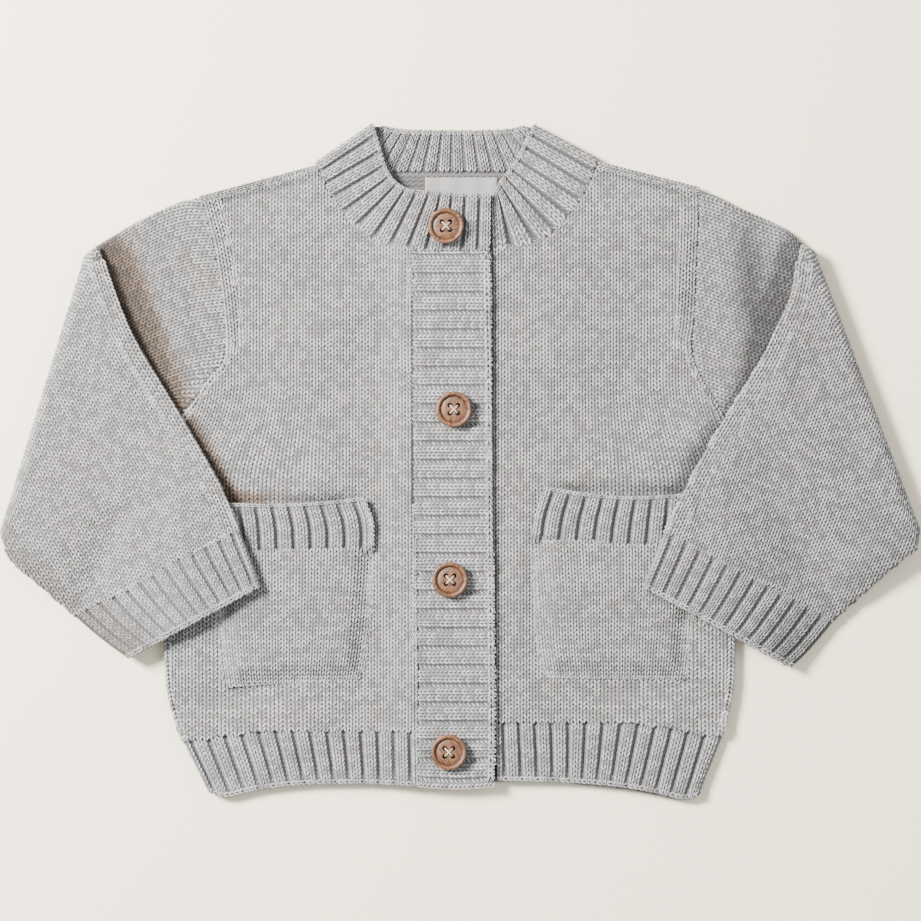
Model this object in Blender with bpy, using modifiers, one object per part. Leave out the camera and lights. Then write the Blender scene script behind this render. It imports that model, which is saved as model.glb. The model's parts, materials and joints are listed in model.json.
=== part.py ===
"""A baby's knitted cardigan laid flat, front up, with its sleeves folded over the fronts.

Sizes below are millimetres; meshes are written in metres, +X to the right, +Y to the neck, +Z up.
Every knitted piece is the middle surface of its cloth, given thickness by a Solidify modifier.
Left and right are those of someone looking down at the front.
"""

import math

import bmesh
import bpy
import numpy as np

MM = 0.001
CLOTH = 2.0  # thickness of the knitted wall
GAP = 0.3  # clearance between neighbouring pieces
TURN = (CLOTH + GAP) / 2  # middle of the wall to the middle of a flattened tube
TUBE = TURN + CLOTH / 2  # half the height of a flattened tube
LAYER = CLOTH + GAP
BACK_Z = CLOTH / 2
FRONT_Z = BACK_Z + LAYER
BAND_Z = FRONT_Z + LAYER  # the buttonhole band lies on the button band
POCKET_Z = FRONT_Z + LAYER

# Each armhole seam, from the shoulder down to the underarm: x, y.
ARMHOLE = {
    "left": [
        (-109.0, 110.9), (-106.3, 101.0), (-104.0, 92.0), (-101.9, 80.0), (-100.2, 67.2), (-99.1, 55.0),
        (-98.9, 47.5), (-100.6, 39.5), (-106.5, 33.5), (-113.4, 23.0), (-124.1, 10.5),
    ],
    "right": [
        (99.0, 114.6), (99.4, 103.5), (99.0, 92.0), (98.5, 80.0), (98.1, 68.0), (97.2, 56.3),
        (96.2, 49.0), (97.6, 41.0), (101.4, 32.8), (107.0, 24.0), (114.0, 10.5),
    ],
}

# Each side seam, from below the underarm to the top of the hem rib: x, y.
SIDE = {
    "left": [
        (-124.3, -10.0), (-124.4, -32.0), (-124.3, -54.0), (-124.3, -76.0), (-123.3, -95.0), (-120.2, -108.0),
    ],
    "right": [
        (114.2, -10.0), (114.3, -32.0), (114.3, -54.0), (114.3, -76.0), (113.9, -93.0), (111.9, -105.0),
    ],
}

# The front neckband, from the neck fold to where it meets the bands: seam x, y, free edge x, y.
NECK = {
    "left": [
        (-60.4, 123.9, -36.4, 140.2), (-56.4, 113.6, -32.6, 126.5), (-51.2, 105.5, -30.1, 120.4),
        (-44.2, 98.7, -26.7, 116.4), (-34.4, 91.9, -21.6, 113.8), (-20.9, 88.0, -12.0, 112.8),
    ],
    "right": [
        (57.0, 125.4, 29.6, 139.8), (54.0, 117.0, 26.4, 133.8), (49.6, 109.0, 22.5, 126.4),
        (42.6, 100.3, 19.0, 121.2), (32.4, 92.0, 15.6, 117.0), (13.0, 88.2, 12.6, 111.8),
    ],
}
# The lapped ends of the neckband above the bands, from the end inwards: seam x, y, free edge x, y.
NECK_LAP = {
    "left": [(11.0, 88.0, 11.4, 111.7), (-5.0, 88.0, -2.5, 112.2)],
    "right": [(-19.4, 88.2, -19.4, 110.0), (-3.0, 88.2, -4.0, 110.0)],
}
NECK_RISE = 1.2  # how far the free edge of the front neckband stands above its seam

# The back neckband, from the left fold to the right: seam x, y, free edge x, y.
NECK_BACK = [
    (-50.0, 121.4, -32.5, 140.6), (-36.0, 121.4, -25.5, 138.9), (-20.0, 121.4, -15.0, 138.5),
    (-4.0, 121.4, -4.0, 138.4), (12.0, 121.4, 8.0, 138.5), (30.0, 121.4, 18.5, 138.9),
    (44.0, 121.5, 25.8, 140.6),
]

# The back's top edge between its armholes, two shoulders and the straight back of the neck: x, y.
CROWN = [(-61.4, 123.4), (-57.4, 121.1), (54.6, 121.1), (58.2, 124.9)]
CROWN_ROWS = 7  # the rows of the back that take up the shape of its top edge
CROWN_COLUMNS = (3, 1, 6, 1, 3)  # columns between the points of that edge

# The two bands at the centre front: y, left edge x, right edge x of the upper one.
BAND = [
    (87.7, -20.6, 11.6), (40.0, -20.3, 12.6), (-10.0, -20.0, 13.0), (-60.0, -19.4, 13.4),
    (-110.0, -18.6, 13.9), (-135.6, -18.2, 13.4),
]
BAND_ROWS = 15
BAND_FOOT_DIP = 1.0  # the lower end of a band bows down by this much
BAND_UNDER_INSET = 0.9  # the button band is narrower on each side than the one over it
BAND_RISE_START = 1.0  # the left front is level with the upper band this close to it
BAND_RISE_WIDTH = 15.0  # and climbs to it over this width
RISE_STEPS = (0.0, 5.5, 11.0, 16.0)  # columns across that climb, from the band outwards
FRONT_COLUMNS = 8  # columns of a front before those
SEAM_CLEAR = 1.1  # panels stand back this far from the sleeve at the two ends of the armhole

# The hem ribs, from the side to the bands: top x, y, lower edge x, y.
HEM = {
    "left": [
        (-116.8, -117.4, -106.0, -138.6), (-109.0, -116.5, -98.9, -140.7), (-95.0, -114.4, -87.0, -138.1),
        (-75.4, -112.8, -70.0, -135.8), (-55.0, -112.5, -52.0, -135.2), (-38.0, -112.7, -37.0, -135.3),
        (-18.9, -113.0, -18.5, -136.0),
    ],
    "right": [
        (109.0, -115.2, 98.9, -140.6), (101.0, -114.8, 93.0, -141.7), (90.0, -112.4, 83.0, -139.4),
        (75.8, -110.2, 70.0, -137.0), (53.5, -109.0, 51.9, -135.1), (33.0, -109.2, 34.0, -134.3),
        (14.2, -109.9, 14.9, -133.9),
    ],
}
BACK_HEM_PEEP = 0.9  # the back rib shows below the right front by this much
PEEP_STARTS = (30.0, 55.0)  # x over which it comes out
PEEP_ENDS = (86.0, 98.0)  # and over which it goes back

# Sleeve from the armhole to the fold line: top edge x, y, underarm edge x, y, share of the armhole's curve.
SLEEVE_NEAR = {
    "left": [
        (-109.0, 110.9, -124.1, 10.5, 1.0), (-117.0, 109.2, -135.0, 4.0, 0.75),
        (-126.5, 105.3, -147.5, -3.5, 0.45), (-136.0, 100.3, -160.5, -12.5, 0.2),
        (-144.5, 95.4, -172.5, -22.0, 0.05), (-152.2, 90.4, -190.9, -36.4, 0.0),
    ],
    "right": [
        (99.0, 114.6, 114.0, 10.5, 1.0), (108.0, 110.7, 125.0, 4.5, 0.75),
        (117.0, 106.3, 138.0, -3.0, 0.45), (126.5, 101.9, 152.0, -12.0, 0.2),
        (135.5, 97.6, 166.0, -22.0, 0.05), (142.2, 91.5, 190.3, -35.9, 0.0),
    ],
}
# Sleeve from the fold line to the cuff, lying back over the body: inner edge x, y, outer edge x, y.
SLEEVE_FAR = {
    "left": [
        (-147.6, 77.0, -190.6, -38.6), (-141.3, 61.0, -188.6, -42.2), (-134.2, 47.0, -185.4, -45.4),
        (-127.0, 35.6, -181.6, -48.7), (-119.6, 23.6, -177.6, -52.2), (-112.4, 11.6, -173.8, -55.6),
        (-105.4, -0.2, -170.0, -59.0), (-98.6, -12.4, -166.2, -62.3), (-92.2, -27.7, -162.5, -65.5),
    ],
    "right": [
        (139.0, 72.0, 190.0, -38.3), (132.6, 58.0, 186.6, -40.6), (126.4, 45.2, 182.8, -43.8),
        (119.6, 34.0, 178.6, -47.4), (112.2, 22.6, 174.2, -51.4), (105.0, 11.0, 169.6, -55.6),
        (97.8, -1.8, 165.2, -59.6), (90.8, -15.0, 160.8, -63.6), (84.2, -29.0, 156.4, -67.6),
    ],
}
# Cuffs, from the sleeve to the open end: inner edge x, y, outer edge x, y.
CUFF = {
    "left": [
        (-92.2, -27.7, -162.5, -65.5), (-89.0, -36.0, -155.2, -71.9), (-85.8, -44.2, -147.4, -77.8),
        (-83.0, -51.7, -139.9, -82.8),
    ],
    "right": [
        (84.2, -29.0, 156.4, -67.6), (81.0, -37.0, 150.6, -74.8), (77.8, -45.0, 144.6, -81.4),
        (75.0, -52.0, 138.6, -86.7),
    ],
}
FOLD_STEPS = 6  # flats round the turn of a folded sleeve
FOLD_TRIM = 4.2  # how much the folded corners are rounded off

# Pockets, from the mouth down: left x, y, right x, y. The first rows are the rib, the rest the bag.
POCKET_RIB = {
    "left": [(-103.4, -17.2, -41.0, -15.2), (-102.8, -27.4, -37.4, -25.6), (-102.2, -38.0, -37.2, -36.2)],
    "right": [(35.2, -10.7, 98.4, -13.0), (31.4, -21.8, 98.0, -24.6), (29.8, -31.8, 97.4, -36.2)],
}
POCKET_BAG = {
    "left": [(-102.2, -38.3, -37.4, -36.5), (-101.6, -52.0, -38.2, -50.0), (-100.8, -66.0, -39.4, -64.0),
             (-99.8, -80.0, -40.8, -77.6), (-98.2, -94.2, -43.0, -90.7)],
    "right": [(29.8, -32.1, 97.4, -36.5), (31.0, -48.0, 96.8, -50.0), (32.0, -63.0, 95.8, -64.0),
              (33.0, -77.0, 94.6, -78.0), (35.0, -90.2, 93.0, -91.4)],
}
MOUTH_SAG = {"left": 1.6, "right": 2.8}  # the pocket mouth dips this far in the middle
POCKET_COLUMNS = 7
POCKET_MARGIN = 8.0  # the sleeve over a pocket stays up this far past it
POCKET_SLOPE = 24.0  # and comes down over this width

EDGE_MARGIN = 8.0  # the folded sleeve stays level this far past what it lies on
EDGE_SLOPE = 30.0  # and then comes down to the ground over this width

LABEL = {"x": (-15.2, 15.2), "y": (107.0, 118.8), "thickness": 0.8}

BUTTONS = [(-6.5, 98.1, 1.0), (-3.2, 21.6, 0.3), (-4.8, -49.6, 0.3), (-5.3, -121.6, 0.3)]  # x, y, gap under

# Half of a button's section, from the middle of its dished face over the rim to its base: radius, height.
BUTTON_SECTION = [
    (0.0, 2.2), (5.4, 2.2), (6.2, 2.85), (6.9, 3.0), (7.5, 2.3), (7.4, 1.0), (6.1, 0.0), (0.0, 0.0),
]
BUTTON_SIDES = 28
HOLE_R = 0.95
HOLE_PITCH = 3.2
HOLE_SIDES = 10
HOLE_REACH = 10.0
MERGE = 0.01

GREY = (0.47, 0.47, 0.475)
RIB_GREY = (0.44, 0.44, 0.445)
WOOD = (0.55, 0.30, 0.15)
CREAM = (0.80, 0.77, 0.70)


def smooth(t):
    """A soft step from 0 to 1."""
    t = min(max(t, 0.0), 1.0)
    return t * t * (3 - 2 * t)


def ramp(x, start, end):
    """A soft step from 0 at start to 1 at end."""
    return smooth((x - start) / (end - start))


def mix(a, b, t):
    """The point a share t of the way from a to b."""
    return np.asarray(a, float) * (1 - t) + np.asarray(b, float) * t


def unit(v):
    """The vector scaled to a length of 1."""
    v = np.asarray(v, float)
    return v / np.linalg.norm(v)


def material(name, colour, roughness):
    made = bpy.data.materials.new(name)
    made.use_nodes = True
    shader = made.node_tree.nodes["Principled BSDF"]
    shader.inputs["Base Color"].default_value = (*colour, 1)
    shader.inputs["Roughness"].default_value = roughness
    shader.inputs["Metallic"].default_value = 0.0
    return made


def collection(name, hidden=False):
    made = bpy.data.collections.new(name)
    made.hide_render = hidden
    bpy.context.scene.collection.children.link(made)
    return made


def cloth(name, rows, look, thickness=CLOTH, ring=False):
    """A wall of cloth from rows of middle-surface points; a ring row closes on itself."""
    mesh = bmesh.new()
    grid = [[mesh.verts.new(np.asarray(p) * MM) for p in row] for row in rows]
    for upper, lower in zip(grid, grid[1:]):
        for i in range(len(upper) if ring else len(upper) - 1):
            j = (i + 1) % len(upper)
            mesh.faces.new((upper[i], upper[j], lower[j], lower[i]))
    bmesh.ops.recalc_face_normals(mesh, faces=mesh.faces)
    data = bpy.data.meshes.new(name)
    mesh.to_mesh(data)
    mesh.free()
    data.materials.append(look)
    made = bpy.data.objects.new(name, data)
    CARDIGAN.objects.link(made)
    wall = made.modifiers.new("wall", "SOLIDIFY")
    wall.thickness = thickness * MM
    wall.offset = 0.0
    return made


def band_edges(y):
    """Left and right edge of the upper band at this height."""
    ys = [row[0] for row in reversed(BAND)]
    left = np.interp(y, ys, [row[1] for row in reversed(BAND)])
    right = np.interp(y, ys, [row[2] for row in reversed(BAND)])
    return float(left), float(right)


def left_rise(x, y):
    """The left front climbs on to the button band near its inner edge."""
    return LAYER * (1 - smooth((band_edges(y)[0] - x - BAND_RISE_START) / BAND_RISE_WIDTH))


def spaced(total, count, last):
    """Distances along a width: even steps, then the close ones asked for at the far end."""
    end = [total - d for d in reversed(last)]
    return [*np.linspace(0.0, end[0], count, endpoint=False), *end]


def body_rows(side):
    """Outer and inner ends of each row of a front: shoulder, armhole, side; and neck, band."""
    sign = -1 if side == "left" else 1
    outer = [(x - sign * GAP / 2, y) for x, y in ARMHOLE[side]]
    outer[0] = (outer[0][0] - sign * SEAM_CLEAR, outer[0][1])
    outer[-1] = (outer[-1][0] - sign * SEAM_CLEAR, outer[-1][1])
    underarm = len(outer) - 1
    outer += SIDE[side]
    hem_x, hem_y = HEM[side][0][:2]
    outer.append((hem_x, hem_y + GAP))
    inner = []
    for seam_x, seam_y, free_x, free_y in NECK[side][:-1]:
        away = unit((seam_x - free_x, seam_y - free_y)) * GAP
        inner.append((seam_x + away[0], seam_y + away[1]))
    inner[0] = (inner[0][0] + sign * SEAM_CLEAR, inner[0][1])
    neck_rows = len(inner)
    foot = NECK[side][-1][1] - 2 * GAP
    for k in range(neck_rows, len(outer) - 1):
        y = outer[k][1]
        if k < underarm:
            y = float(mix(foot, outer[underarm][1], (k - neck_rows) / (underarm - neck_rows)))
        left, right = band_edges(y)
        inner.append((left - GAP if side == "left" else right - GAP, y))
    hem_x, hem_y = HEM[side][-1][:2]
    inner.append((hem_x, hem_y + GAP))
    return outer, inner


def hem_rows(side):
    """The table of a hem rib; the back's runs from side to side."""
    if side == "back":
        return HEM["left"][:-1] + HEM["right"][-2::-1]
    return HEM[side]


def hem_line(side, x):
    """Height of the top of a hem rib at x."""
    rows = sorted(hem_rows(side))
    return float(np.interp(x, [r[0] for r in rows], [r[1] for r in rows]))


def build_front(side):
    """A front, whose last row follows the top of its hem rib."""
    outer, inner = body_rows(side)
    rows = []
    for k, (a, b) in enumerate(zip(outer, inner)):
        width = float(np.linalg.norm(np.subtract(b, a)))
        row = []
        for d in spaced(width, FRONT_COLUMNS, RISE_STEPS if side == "left" else (0.0,)):
            x, y = mix(a, b, d / width)
            if k == len(outer) - 1:
                y = hem_line(side, x) + GAP
            lift = left_rise(x, y) if side == "left" else 0.0
            row.append((x, y, FRONT_Z + lift))
        rows.append(row)
    cloth("front_" + side, rows, KNIT)


def divided(stops, counts):
    """The stops with even divisions put between them."""
    found = [stops[0]]
    for start, end, count in zip(stops, stops[1:], counts):
        found += list(np.linspace(start, end, count + 1)[1:])
    return found


def build_back():
    """The back, from its shaped top edge to its hem rib."""
    left, _ = body_rows("left")
    right, _ = body_rows("right")
    edge = [left[0], *CROWN, right[0]]
    edge_x = [x for x, _ in edge]
    edge_y = [y for _, y in edge]
    shares = divided([(x - edge_x[0]) / (edge_x[-1] - edge_x[0]) for x in edge_x], CROWN_COLUMNS)
    rows = []
    for k, (a, b) in enumerate(zip(left, right)):
        keep = 1 - smooth(k / CROWN_ROWS)
        row = []
        for s in shares:
            x, y = mix(a, b, s)
            top_x, top_y = mix(left[0], right[0], s)
            y += (np.interp(top_x, edge_x, edge_y) - top_y) * keep
            if k == len(left) - 1:
                y = hem_line("back", x) + 1.5 * GAP
            row.append((x, y, BACK_Z))
        rows.append(row)
    cloth("back_panel", rows, KNIT)


def hem_columns(side):
    """Columns of a hem rib from the side inwards, closer where the left one climbs."""
    columns = [np.asarray(row, float) for row in hem_rows(side)]
    if side == "left":
        before, last = columns[-2:]
        width = abs(last[0] - before[0])
        columns[-1:] = [mix(before, last, 1 - d / width) for d in reversed(RISE_STEPS[:-1])]
    return columns


def build_hem(side):
    """The hem rib of one front, or of the back."""
    rows = []
    for t in (0.0, 0.5, 1.0):
        row = []
        for top_x, top_y, low_x, low_y in hem_columns(side):
            x, y = mix((top_x, top_y), (low_x, low_y), t)
            height = FRONT_Z + (left_rise(x, y) if side == "left" else 0.0)
            if side == "back":
                height = BACK_Z
                y -= BACK_HEM_PEEP * t * ramp(x, *PEEP_STARTS) * (1 - ramp(x, *PEEP_ENDS))
            row.append((x, y, height))
        rows.append(row)
    cloth("back_hem" if side == "back" else "front_hem_" + side, rows, RIBBED)


def outside(box, x, y):
    """Distance outside a plan box, negative within it."""
    (x_low, x_high), (y_low, y_high) = box
    return max(x_low - x, x - x_high, y_low - y, y - y_high)


def tube_height(side, x, y):
    """Middle height of the folded sleeve where it lies over sleeve, front and pocket, or the ground."""
    sign = -1 if side == "left" else 1
    under_in = np.array(ARMHOLE[side][-1])
    under_out = np.array(SLEEVE_NEAR[side][-1][2:4])
    along = unit(under_out - under_in)
    across = np.array((-along[1], along[0])) * sign
    below_sleeve = -float(np.dot(np.array((x, y)) - under_in, across))
    beyond_side = sign * (x - SIDE[side][1][0])
    level = 1 - smooth((min(below_sleeve, beyond_side) - EDGE_MARGIN) / EDGE_SLOPE)
    rib = POCKET_RIB[side]
    bag = POCKET_BAG[side]
    pocket = ((min(r[0] for r in rib), max(r[2] for r in rib)), (bag[-1][1], rib[0][1]))
    over = 1 - smooth((outside(pocket, x, y) - POCKET_MARGIN) / POCKET_SLOPE)
    return TUBE + 2 * LAYER * level + LAYER * over


def stations(side):
    """Shares along the armhole of the points that every ring of the sleeve repeats."""
    steps = np.linalg.norm(np.diff(np.array(ARMHOLE[side]), axis=0), axis=1)
    return np.concatenate([[0.0], np.cumsum(steps)]) / steps.sum()


def tube_ring(middle, face):
    """A flattened ring about a line of middle points; face points from the middle to the front wall."""
    middle = np.array(middle, float)
    head = unit(middle[0] - middle[1])
    foot = unit(middle[-1] - middle[-2])
    middle[0] -= head * TUBE
    middle[-1] -= foot * TUBE
    face = np.asarray(face, float)
    ring = [p + face * TURN for p in middle]
    for angle in (45, 90, 135):
        a = math.radians(angle)
        ring.append(middle[-1] + (foot * math.sin(a) + face * math.cos(a)) * TURN)
    ring += [p - face * TURN for p in middle[::-1]]
    for angle in (135, 90, 45):
        a = math.radians(angle)
        ring.append(middle[0] + (head * math.sin(a) + face * math.cos(a)) * TURN)
    return ring


def near_rings(side):
    """Rings of the stretch that lies flat, from the armhole out to the fold line."""
    sign = -1 if side == "left" else 1
    shares = stations(side)
    seam = np.array(ARMHOLE[side])
    chord = np.array([mix(seam[0], seam[-1], s) for s in shares])
    rings = []
    for k, (top_x, top_y, under_x, under_y, bow) in enumerate(SLEEVE_NEAR[side]):
        line = np.array([mix((top_x, top_y), (under_x, under_y), s) for s in shares]) + (seam - chord) * bow
        line[:, 0] += sign * GAP / 2 if k == 0 else 0.0
        rings.append(tube_ring([(x, y, TUBE) for x, y in line], (0, 0, 1)))
    return rings


def fold_rings(side):
    """Rings of the turn, about an axis one layer above the flat stretch."""
    sign = -1 if side == "left" else 1
    top_x, top_y, under_x, under_y, _ = SLEEVE_NEAR[side][-1]
    top = np.array((top_x, top_y, 0.0))
    under = np.array((under_x, under_y, 0.0))
    along = unit(under - top)
    outward = np.array((-along[1], along[0], 0.0)) * sign
    outward *= np.sign(outward[0]) * sign
    up = np.array((0.0, 0.0, 1.0))
    radius = TUBE + GAP / 2
    rings = []
    for step in range(1, FOLD_STEPS):
        turn = math.pi * step / FOLD_STEPS
        trim = FOLD_TRIM * math.sin(turn)
        offset = outward * radius * math.sin(turn) + up * (2 * TUBE + GAP / 2 - radius * math.cos(turn))
        line = [mix(top + along * trim, under - along * trim, s) + offset for s in stations(side)]
        rings.append(tube_ring(line, up * math.cos(turn) - outward * math.sin(turn)))
    return rings


def far_rings(side, table):
    """Rings of the stretch that lies back over the body."""
    rings = []
    for top_x, top_y, under_x, under_y in table:
        line = [mix((top_x, top_y), (under_x, under_y), s) for s in stations(side)]
        rings.append(tube_ring([(x, y, tube_height(side, x, y)) for x, y in line], (0, 0, -1)))
    return rings


def build_sleeve(side):
    """The sleeve's tube, from the armhole round the fold to the cuff."""
    start = SLEEVE_NEAR[side][-1][:4]
    rings = near_rings(side) + fold_rings(side) + far_rings(side, [start, *SLEEVE_FAR[side]])
    cloth("sleeve_" + side, rings, KNIT, ring=True)


def build_cuff(side):
    """The cuff's tube, a seam's gap past the end of the sleeve."""
    first, second = CUFF[side][:2]
    step = np.subtract(second, first)
    start = np.add(first, step * GAP / np.linalg.norm(step[:2]))
    cloth("cuff_" + side, far_rings(side, [start, *CUFF[side][1:]]), RIBBED, ring=True)


def fold_over(side):
    """Stations of the neckband as it turns over the side of the neck, from front to back."""
    seam_x, seam_y, free_x, free_y = NECK[side][0]
    seam = np.array((seam_x, seam_y, 0.0))
    free = np.array((free_x, free_y, 0.0))
    along = unit(free - seam)
    outward = np.array((-along[1], along[0], 0.0))
    outward *= np.sign(outward[1])
    up = np.array((0.0, 0.0, 1.0))
    turned = []
    for angle in (0, 45, 90, 135, 180):
        a = math.radians(angle)
        lift = NECK_RISE * 0.5 * (1 + math.cos(a))
        rim = up * (TUBE + TURN * math.cos(a)) + outward * TURN * math.sin(a)
        turned.append((seam + rim, free + rim + up * lift))
    return turned


def front_neck(side):
    """Stations of the front neckband from the band end back to the neck fold."""
    placed = []
    for seam_x, seam_y, free_x, free_y in NECK_LAP[side] + NECK[side][:0:-1]:
        lift = left_rise(seam_x, seam_y) if side == "left" else 0.0
        free_lift = left_rise(free_x, free_y) if side == "left" else 0.0
        seam = np.array((seam_x, seam_y, FRONT_Z + lift))
        placed.append((seam, np.array((free_x, free_y, FRONT_Z + free_lift + NECK_RISE))))
    return placed


def build_neckband():
    """The neckband as one strip, from its upper end round the neck to the end under it."""
    path = front_neck("left") + fold_over("left")
    for seam_x, seam_y, free_x, free_y in NECK_BACK:
        path.append((np.array((seam_x, seam_y, BACK_Z)), np.array((free_x, free_y, BACK_Z))))
    path += fold_over("right")[::-1] + front_neck("right")[::-1]
    rows = [[mix(seam, free, t) for seam, free in path] for t in (0.0, 0.5, 1.0)]
    cloth("neckband", rows, RIBBED)


def build_band(name, inset, height):
    """One of the two bands: a strip as long as the front opening."""
    heights = np.linspace(BAND[0][0], BAND[-1][0], BAND_ROWS)
    rows = []
    for k, y in enumerate(heights):
        left, right = band_edges(y)
        row = []
        for t in (0.0, 0.5, 1.0):
            dip = BAND_FOOT_DIP * math.sin(math.pi * t) if k == BAND_ROWS - 1 else 0.0
            row.append((mix(left + inset, right - inset, t), y - dip, height))
        rows.append(row)
    cloth(name, rows, RIBBED)


def build_pocket_piece(name, table, look, sag):
    """A piece of a pocket, one layer above the front; its first row sags and its last is straight."""
    rows = []
    for k, (left_x, left_y, right_x, right_y) in enumerate(table):
        dip = sag * (1 - k / (len(table) - 1))
        row = []
        for t in np.linspace(0, 1, POCKET_COLUMNS):
            x, y = mix((left_x, left_y), (right_x, right_y), t)
            row.append((x, y - dip * math.sin(math.pi * t), POCKET_Z))
        rows.append(row)
    cloth(name, rows, look)


def build_label():
    """A bare tape on the inside of the back, below the neckband's seam."""
    height = CLOTH + GAP + LABEL["thickness"] / 2
    rows = [[(x, y, height) for x in LABEL["x"]] for y in LABEL["y"]]
    cloth("neck_label", rows, WOVEN, LABEL["thickness"])


def hole_cutter():
    """Four pegs, one for each thread hole, joined as one cutter."""
    mesh = bmesh.new()
    for x in (-0.5, 0.5):
        for y in (-0.5, 0.5):
            made = bmesh.ops.create_cone(
                mesh, cap_ends=True, segments=HOLE_SIDES, radius1=HOLE_R * MM, radius2=HOLE_R * MM,
                depth=HOLE_REACH * MM,
            )
            bmesh.ops.translate(mesh, verts=made["verts"], vec=(x * HOLE_PITCH * MM, y * HOLE_PITCH * MM, 0))
    data = bpy.data.meshes.new("thread_holes")
    mesh.to_mesh(data)
    mesh.free()
    made = bpy.data.objects.new("thread_holes", data)
    made.hide_render = True
    made.display_type = "WIRE"
    CUTTERS.objects.link(made)
    return made


def build_buttons():
    """Turned buttons on the upper band, each with its own cut holes."""
    cutter = hole_cutter()
    for number, (x, y, gap) in enumerate(BUTTONS, 1):
        name = f"button_{number}"
        data = bpy.data.meshes.new(name)
        points = [(radius * MM, 0.0, z * MM) for radius, z in BUTTON_SECTION]
        data.from_pydata(points, [(i, i + 1) for i in range(len(points) - 1)], [])
        data.materials.append(WOODEN)
        made = bpy.data.objects.new(name, data)
        CARDIGAN.objects.link(made)
        made.location = (x * MM, y * MM, (BAND_Z + CLOTH / 2 + gap) * MM)
        turned = made.modifiers.new("turned", "SCREW")
        turned.steps = BUTTON_SIDES
        turned.render_steps = BUTTON_SIDES
        turned.use_merge_vertices = True
        turned.merge_threshold = MERGE * MM
        turned.use_smooth_shade = True
        holes = made.modifiers.new("holes", "BOOLEAN")
        own = cutter.copy()
        own.name = f"thread_holes_{number}"
        own.location = made.location
        CUTTERS.objects.link(own)
        holes.object = own
        holes.operation = "DIFFERENCE"
    bpy.data.objects.remove(cutter)


def settle():
    """Moves everything so that the origin is below the middle of the whole garment."""
    bpy.context.view_layer.update()
    graph = bpy.context.evaluated_depsgraph_get()
    corners = []
    for piece in CARDIGAN.objects:
        solid = piece.evaluated_get(graph)
        data = solid.to_mesh()
        corners += [solid.matrix_world @ v.co for v in data.vertices]
        solid.to_mesh_clear()
    low = np.min(corners, axis=0)
    high = np.max(corners, axis=0)
    shift = (-(low[0] + high[0]) / 2, -(low[1] + high[1]) / 2, -low[2])
    for piece in [*CARDIGAN.objects, *CUTTERS.objects]:
        piece.location = np.add(piece.location, shift)


for old in list(bpy.data.objects):
    bpy.data.objects.remove(old)

CARDIGAN = collection("baby_cardigan")
CUTTERS = collection("cutters", hidden=True)
KNIT = material("grey_knit", GREY, 0.95)
RIBBED = material("grey_rib", RIB_GREY, 0.95)
WOVEN = material("cream_tape", CREAM, 0.7)
WOODEN = material("tan_wood", WOOD, 0.45)

build_back()
build_hem("back")
for side in ("left", "right"):
    build_front(side)
    build_hem(side)
    build_sleeve(side)
    build_cuff(side)
    build_pocket_piece("pocket_rib_" + side, POCKET_RIB[side], RIBBED, MOUTH_SAG[side])
    build_pocket_piece("pocket_" + side, POCKET_BAG[side], KNIT, 0.0)
build_neckband()
build_band("button_band", BAND_UNDER_INSET, FRONT_Z)
build_band("buttonhole_band", 0.0, BAND_Z)
build_label()
build_buttons()
settle()
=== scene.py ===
"""A baby's knitted cardigan, laid flat with its sleeves folded over the fronts.

Sizes are millimetres until a mesh is written. Left and right are those of someone looking down at the front.
"""
import json
import math

import bmesh
import bpy
import numpy as np
from mathutils import Matrix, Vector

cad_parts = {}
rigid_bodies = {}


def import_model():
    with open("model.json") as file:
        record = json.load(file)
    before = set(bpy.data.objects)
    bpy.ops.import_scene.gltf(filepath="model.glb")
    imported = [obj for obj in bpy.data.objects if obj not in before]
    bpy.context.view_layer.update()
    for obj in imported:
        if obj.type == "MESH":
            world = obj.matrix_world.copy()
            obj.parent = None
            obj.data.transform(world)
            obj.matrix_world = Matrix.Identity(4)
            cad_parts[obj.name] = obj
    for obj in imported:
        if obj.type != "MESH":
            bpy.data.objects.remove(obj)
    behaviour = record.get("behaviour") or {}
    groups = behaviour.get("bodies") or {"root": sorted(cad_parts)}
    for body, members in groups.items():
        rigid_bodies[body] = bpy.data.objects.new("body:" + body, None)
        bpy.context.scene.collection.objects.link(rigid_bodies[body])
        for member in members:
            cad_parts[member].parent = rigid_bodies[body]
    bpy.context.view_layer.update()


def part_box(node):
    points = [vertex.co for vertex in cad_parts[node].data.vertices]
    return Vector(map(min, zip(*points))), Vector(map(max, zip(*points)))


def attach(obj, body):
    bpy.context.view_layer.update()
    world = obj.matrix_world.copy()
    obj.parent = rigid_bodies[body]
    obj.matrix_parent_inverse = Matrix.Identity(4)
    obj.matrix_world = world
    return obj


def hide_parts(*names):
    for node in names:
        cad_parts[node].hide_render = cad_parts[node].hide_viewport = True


for stray in list(bpy.context.scene.objects):
    bpy.data.objects.remove(stray)
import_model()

# ------------------------------------------------------------------ the back
# The back is one flat piece of plain knitting in heather grey yarn, its smooth side underneath.
# It is shaped at the armholes and across the shoulders, and everything else is knitted or sewn to it.

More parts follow.
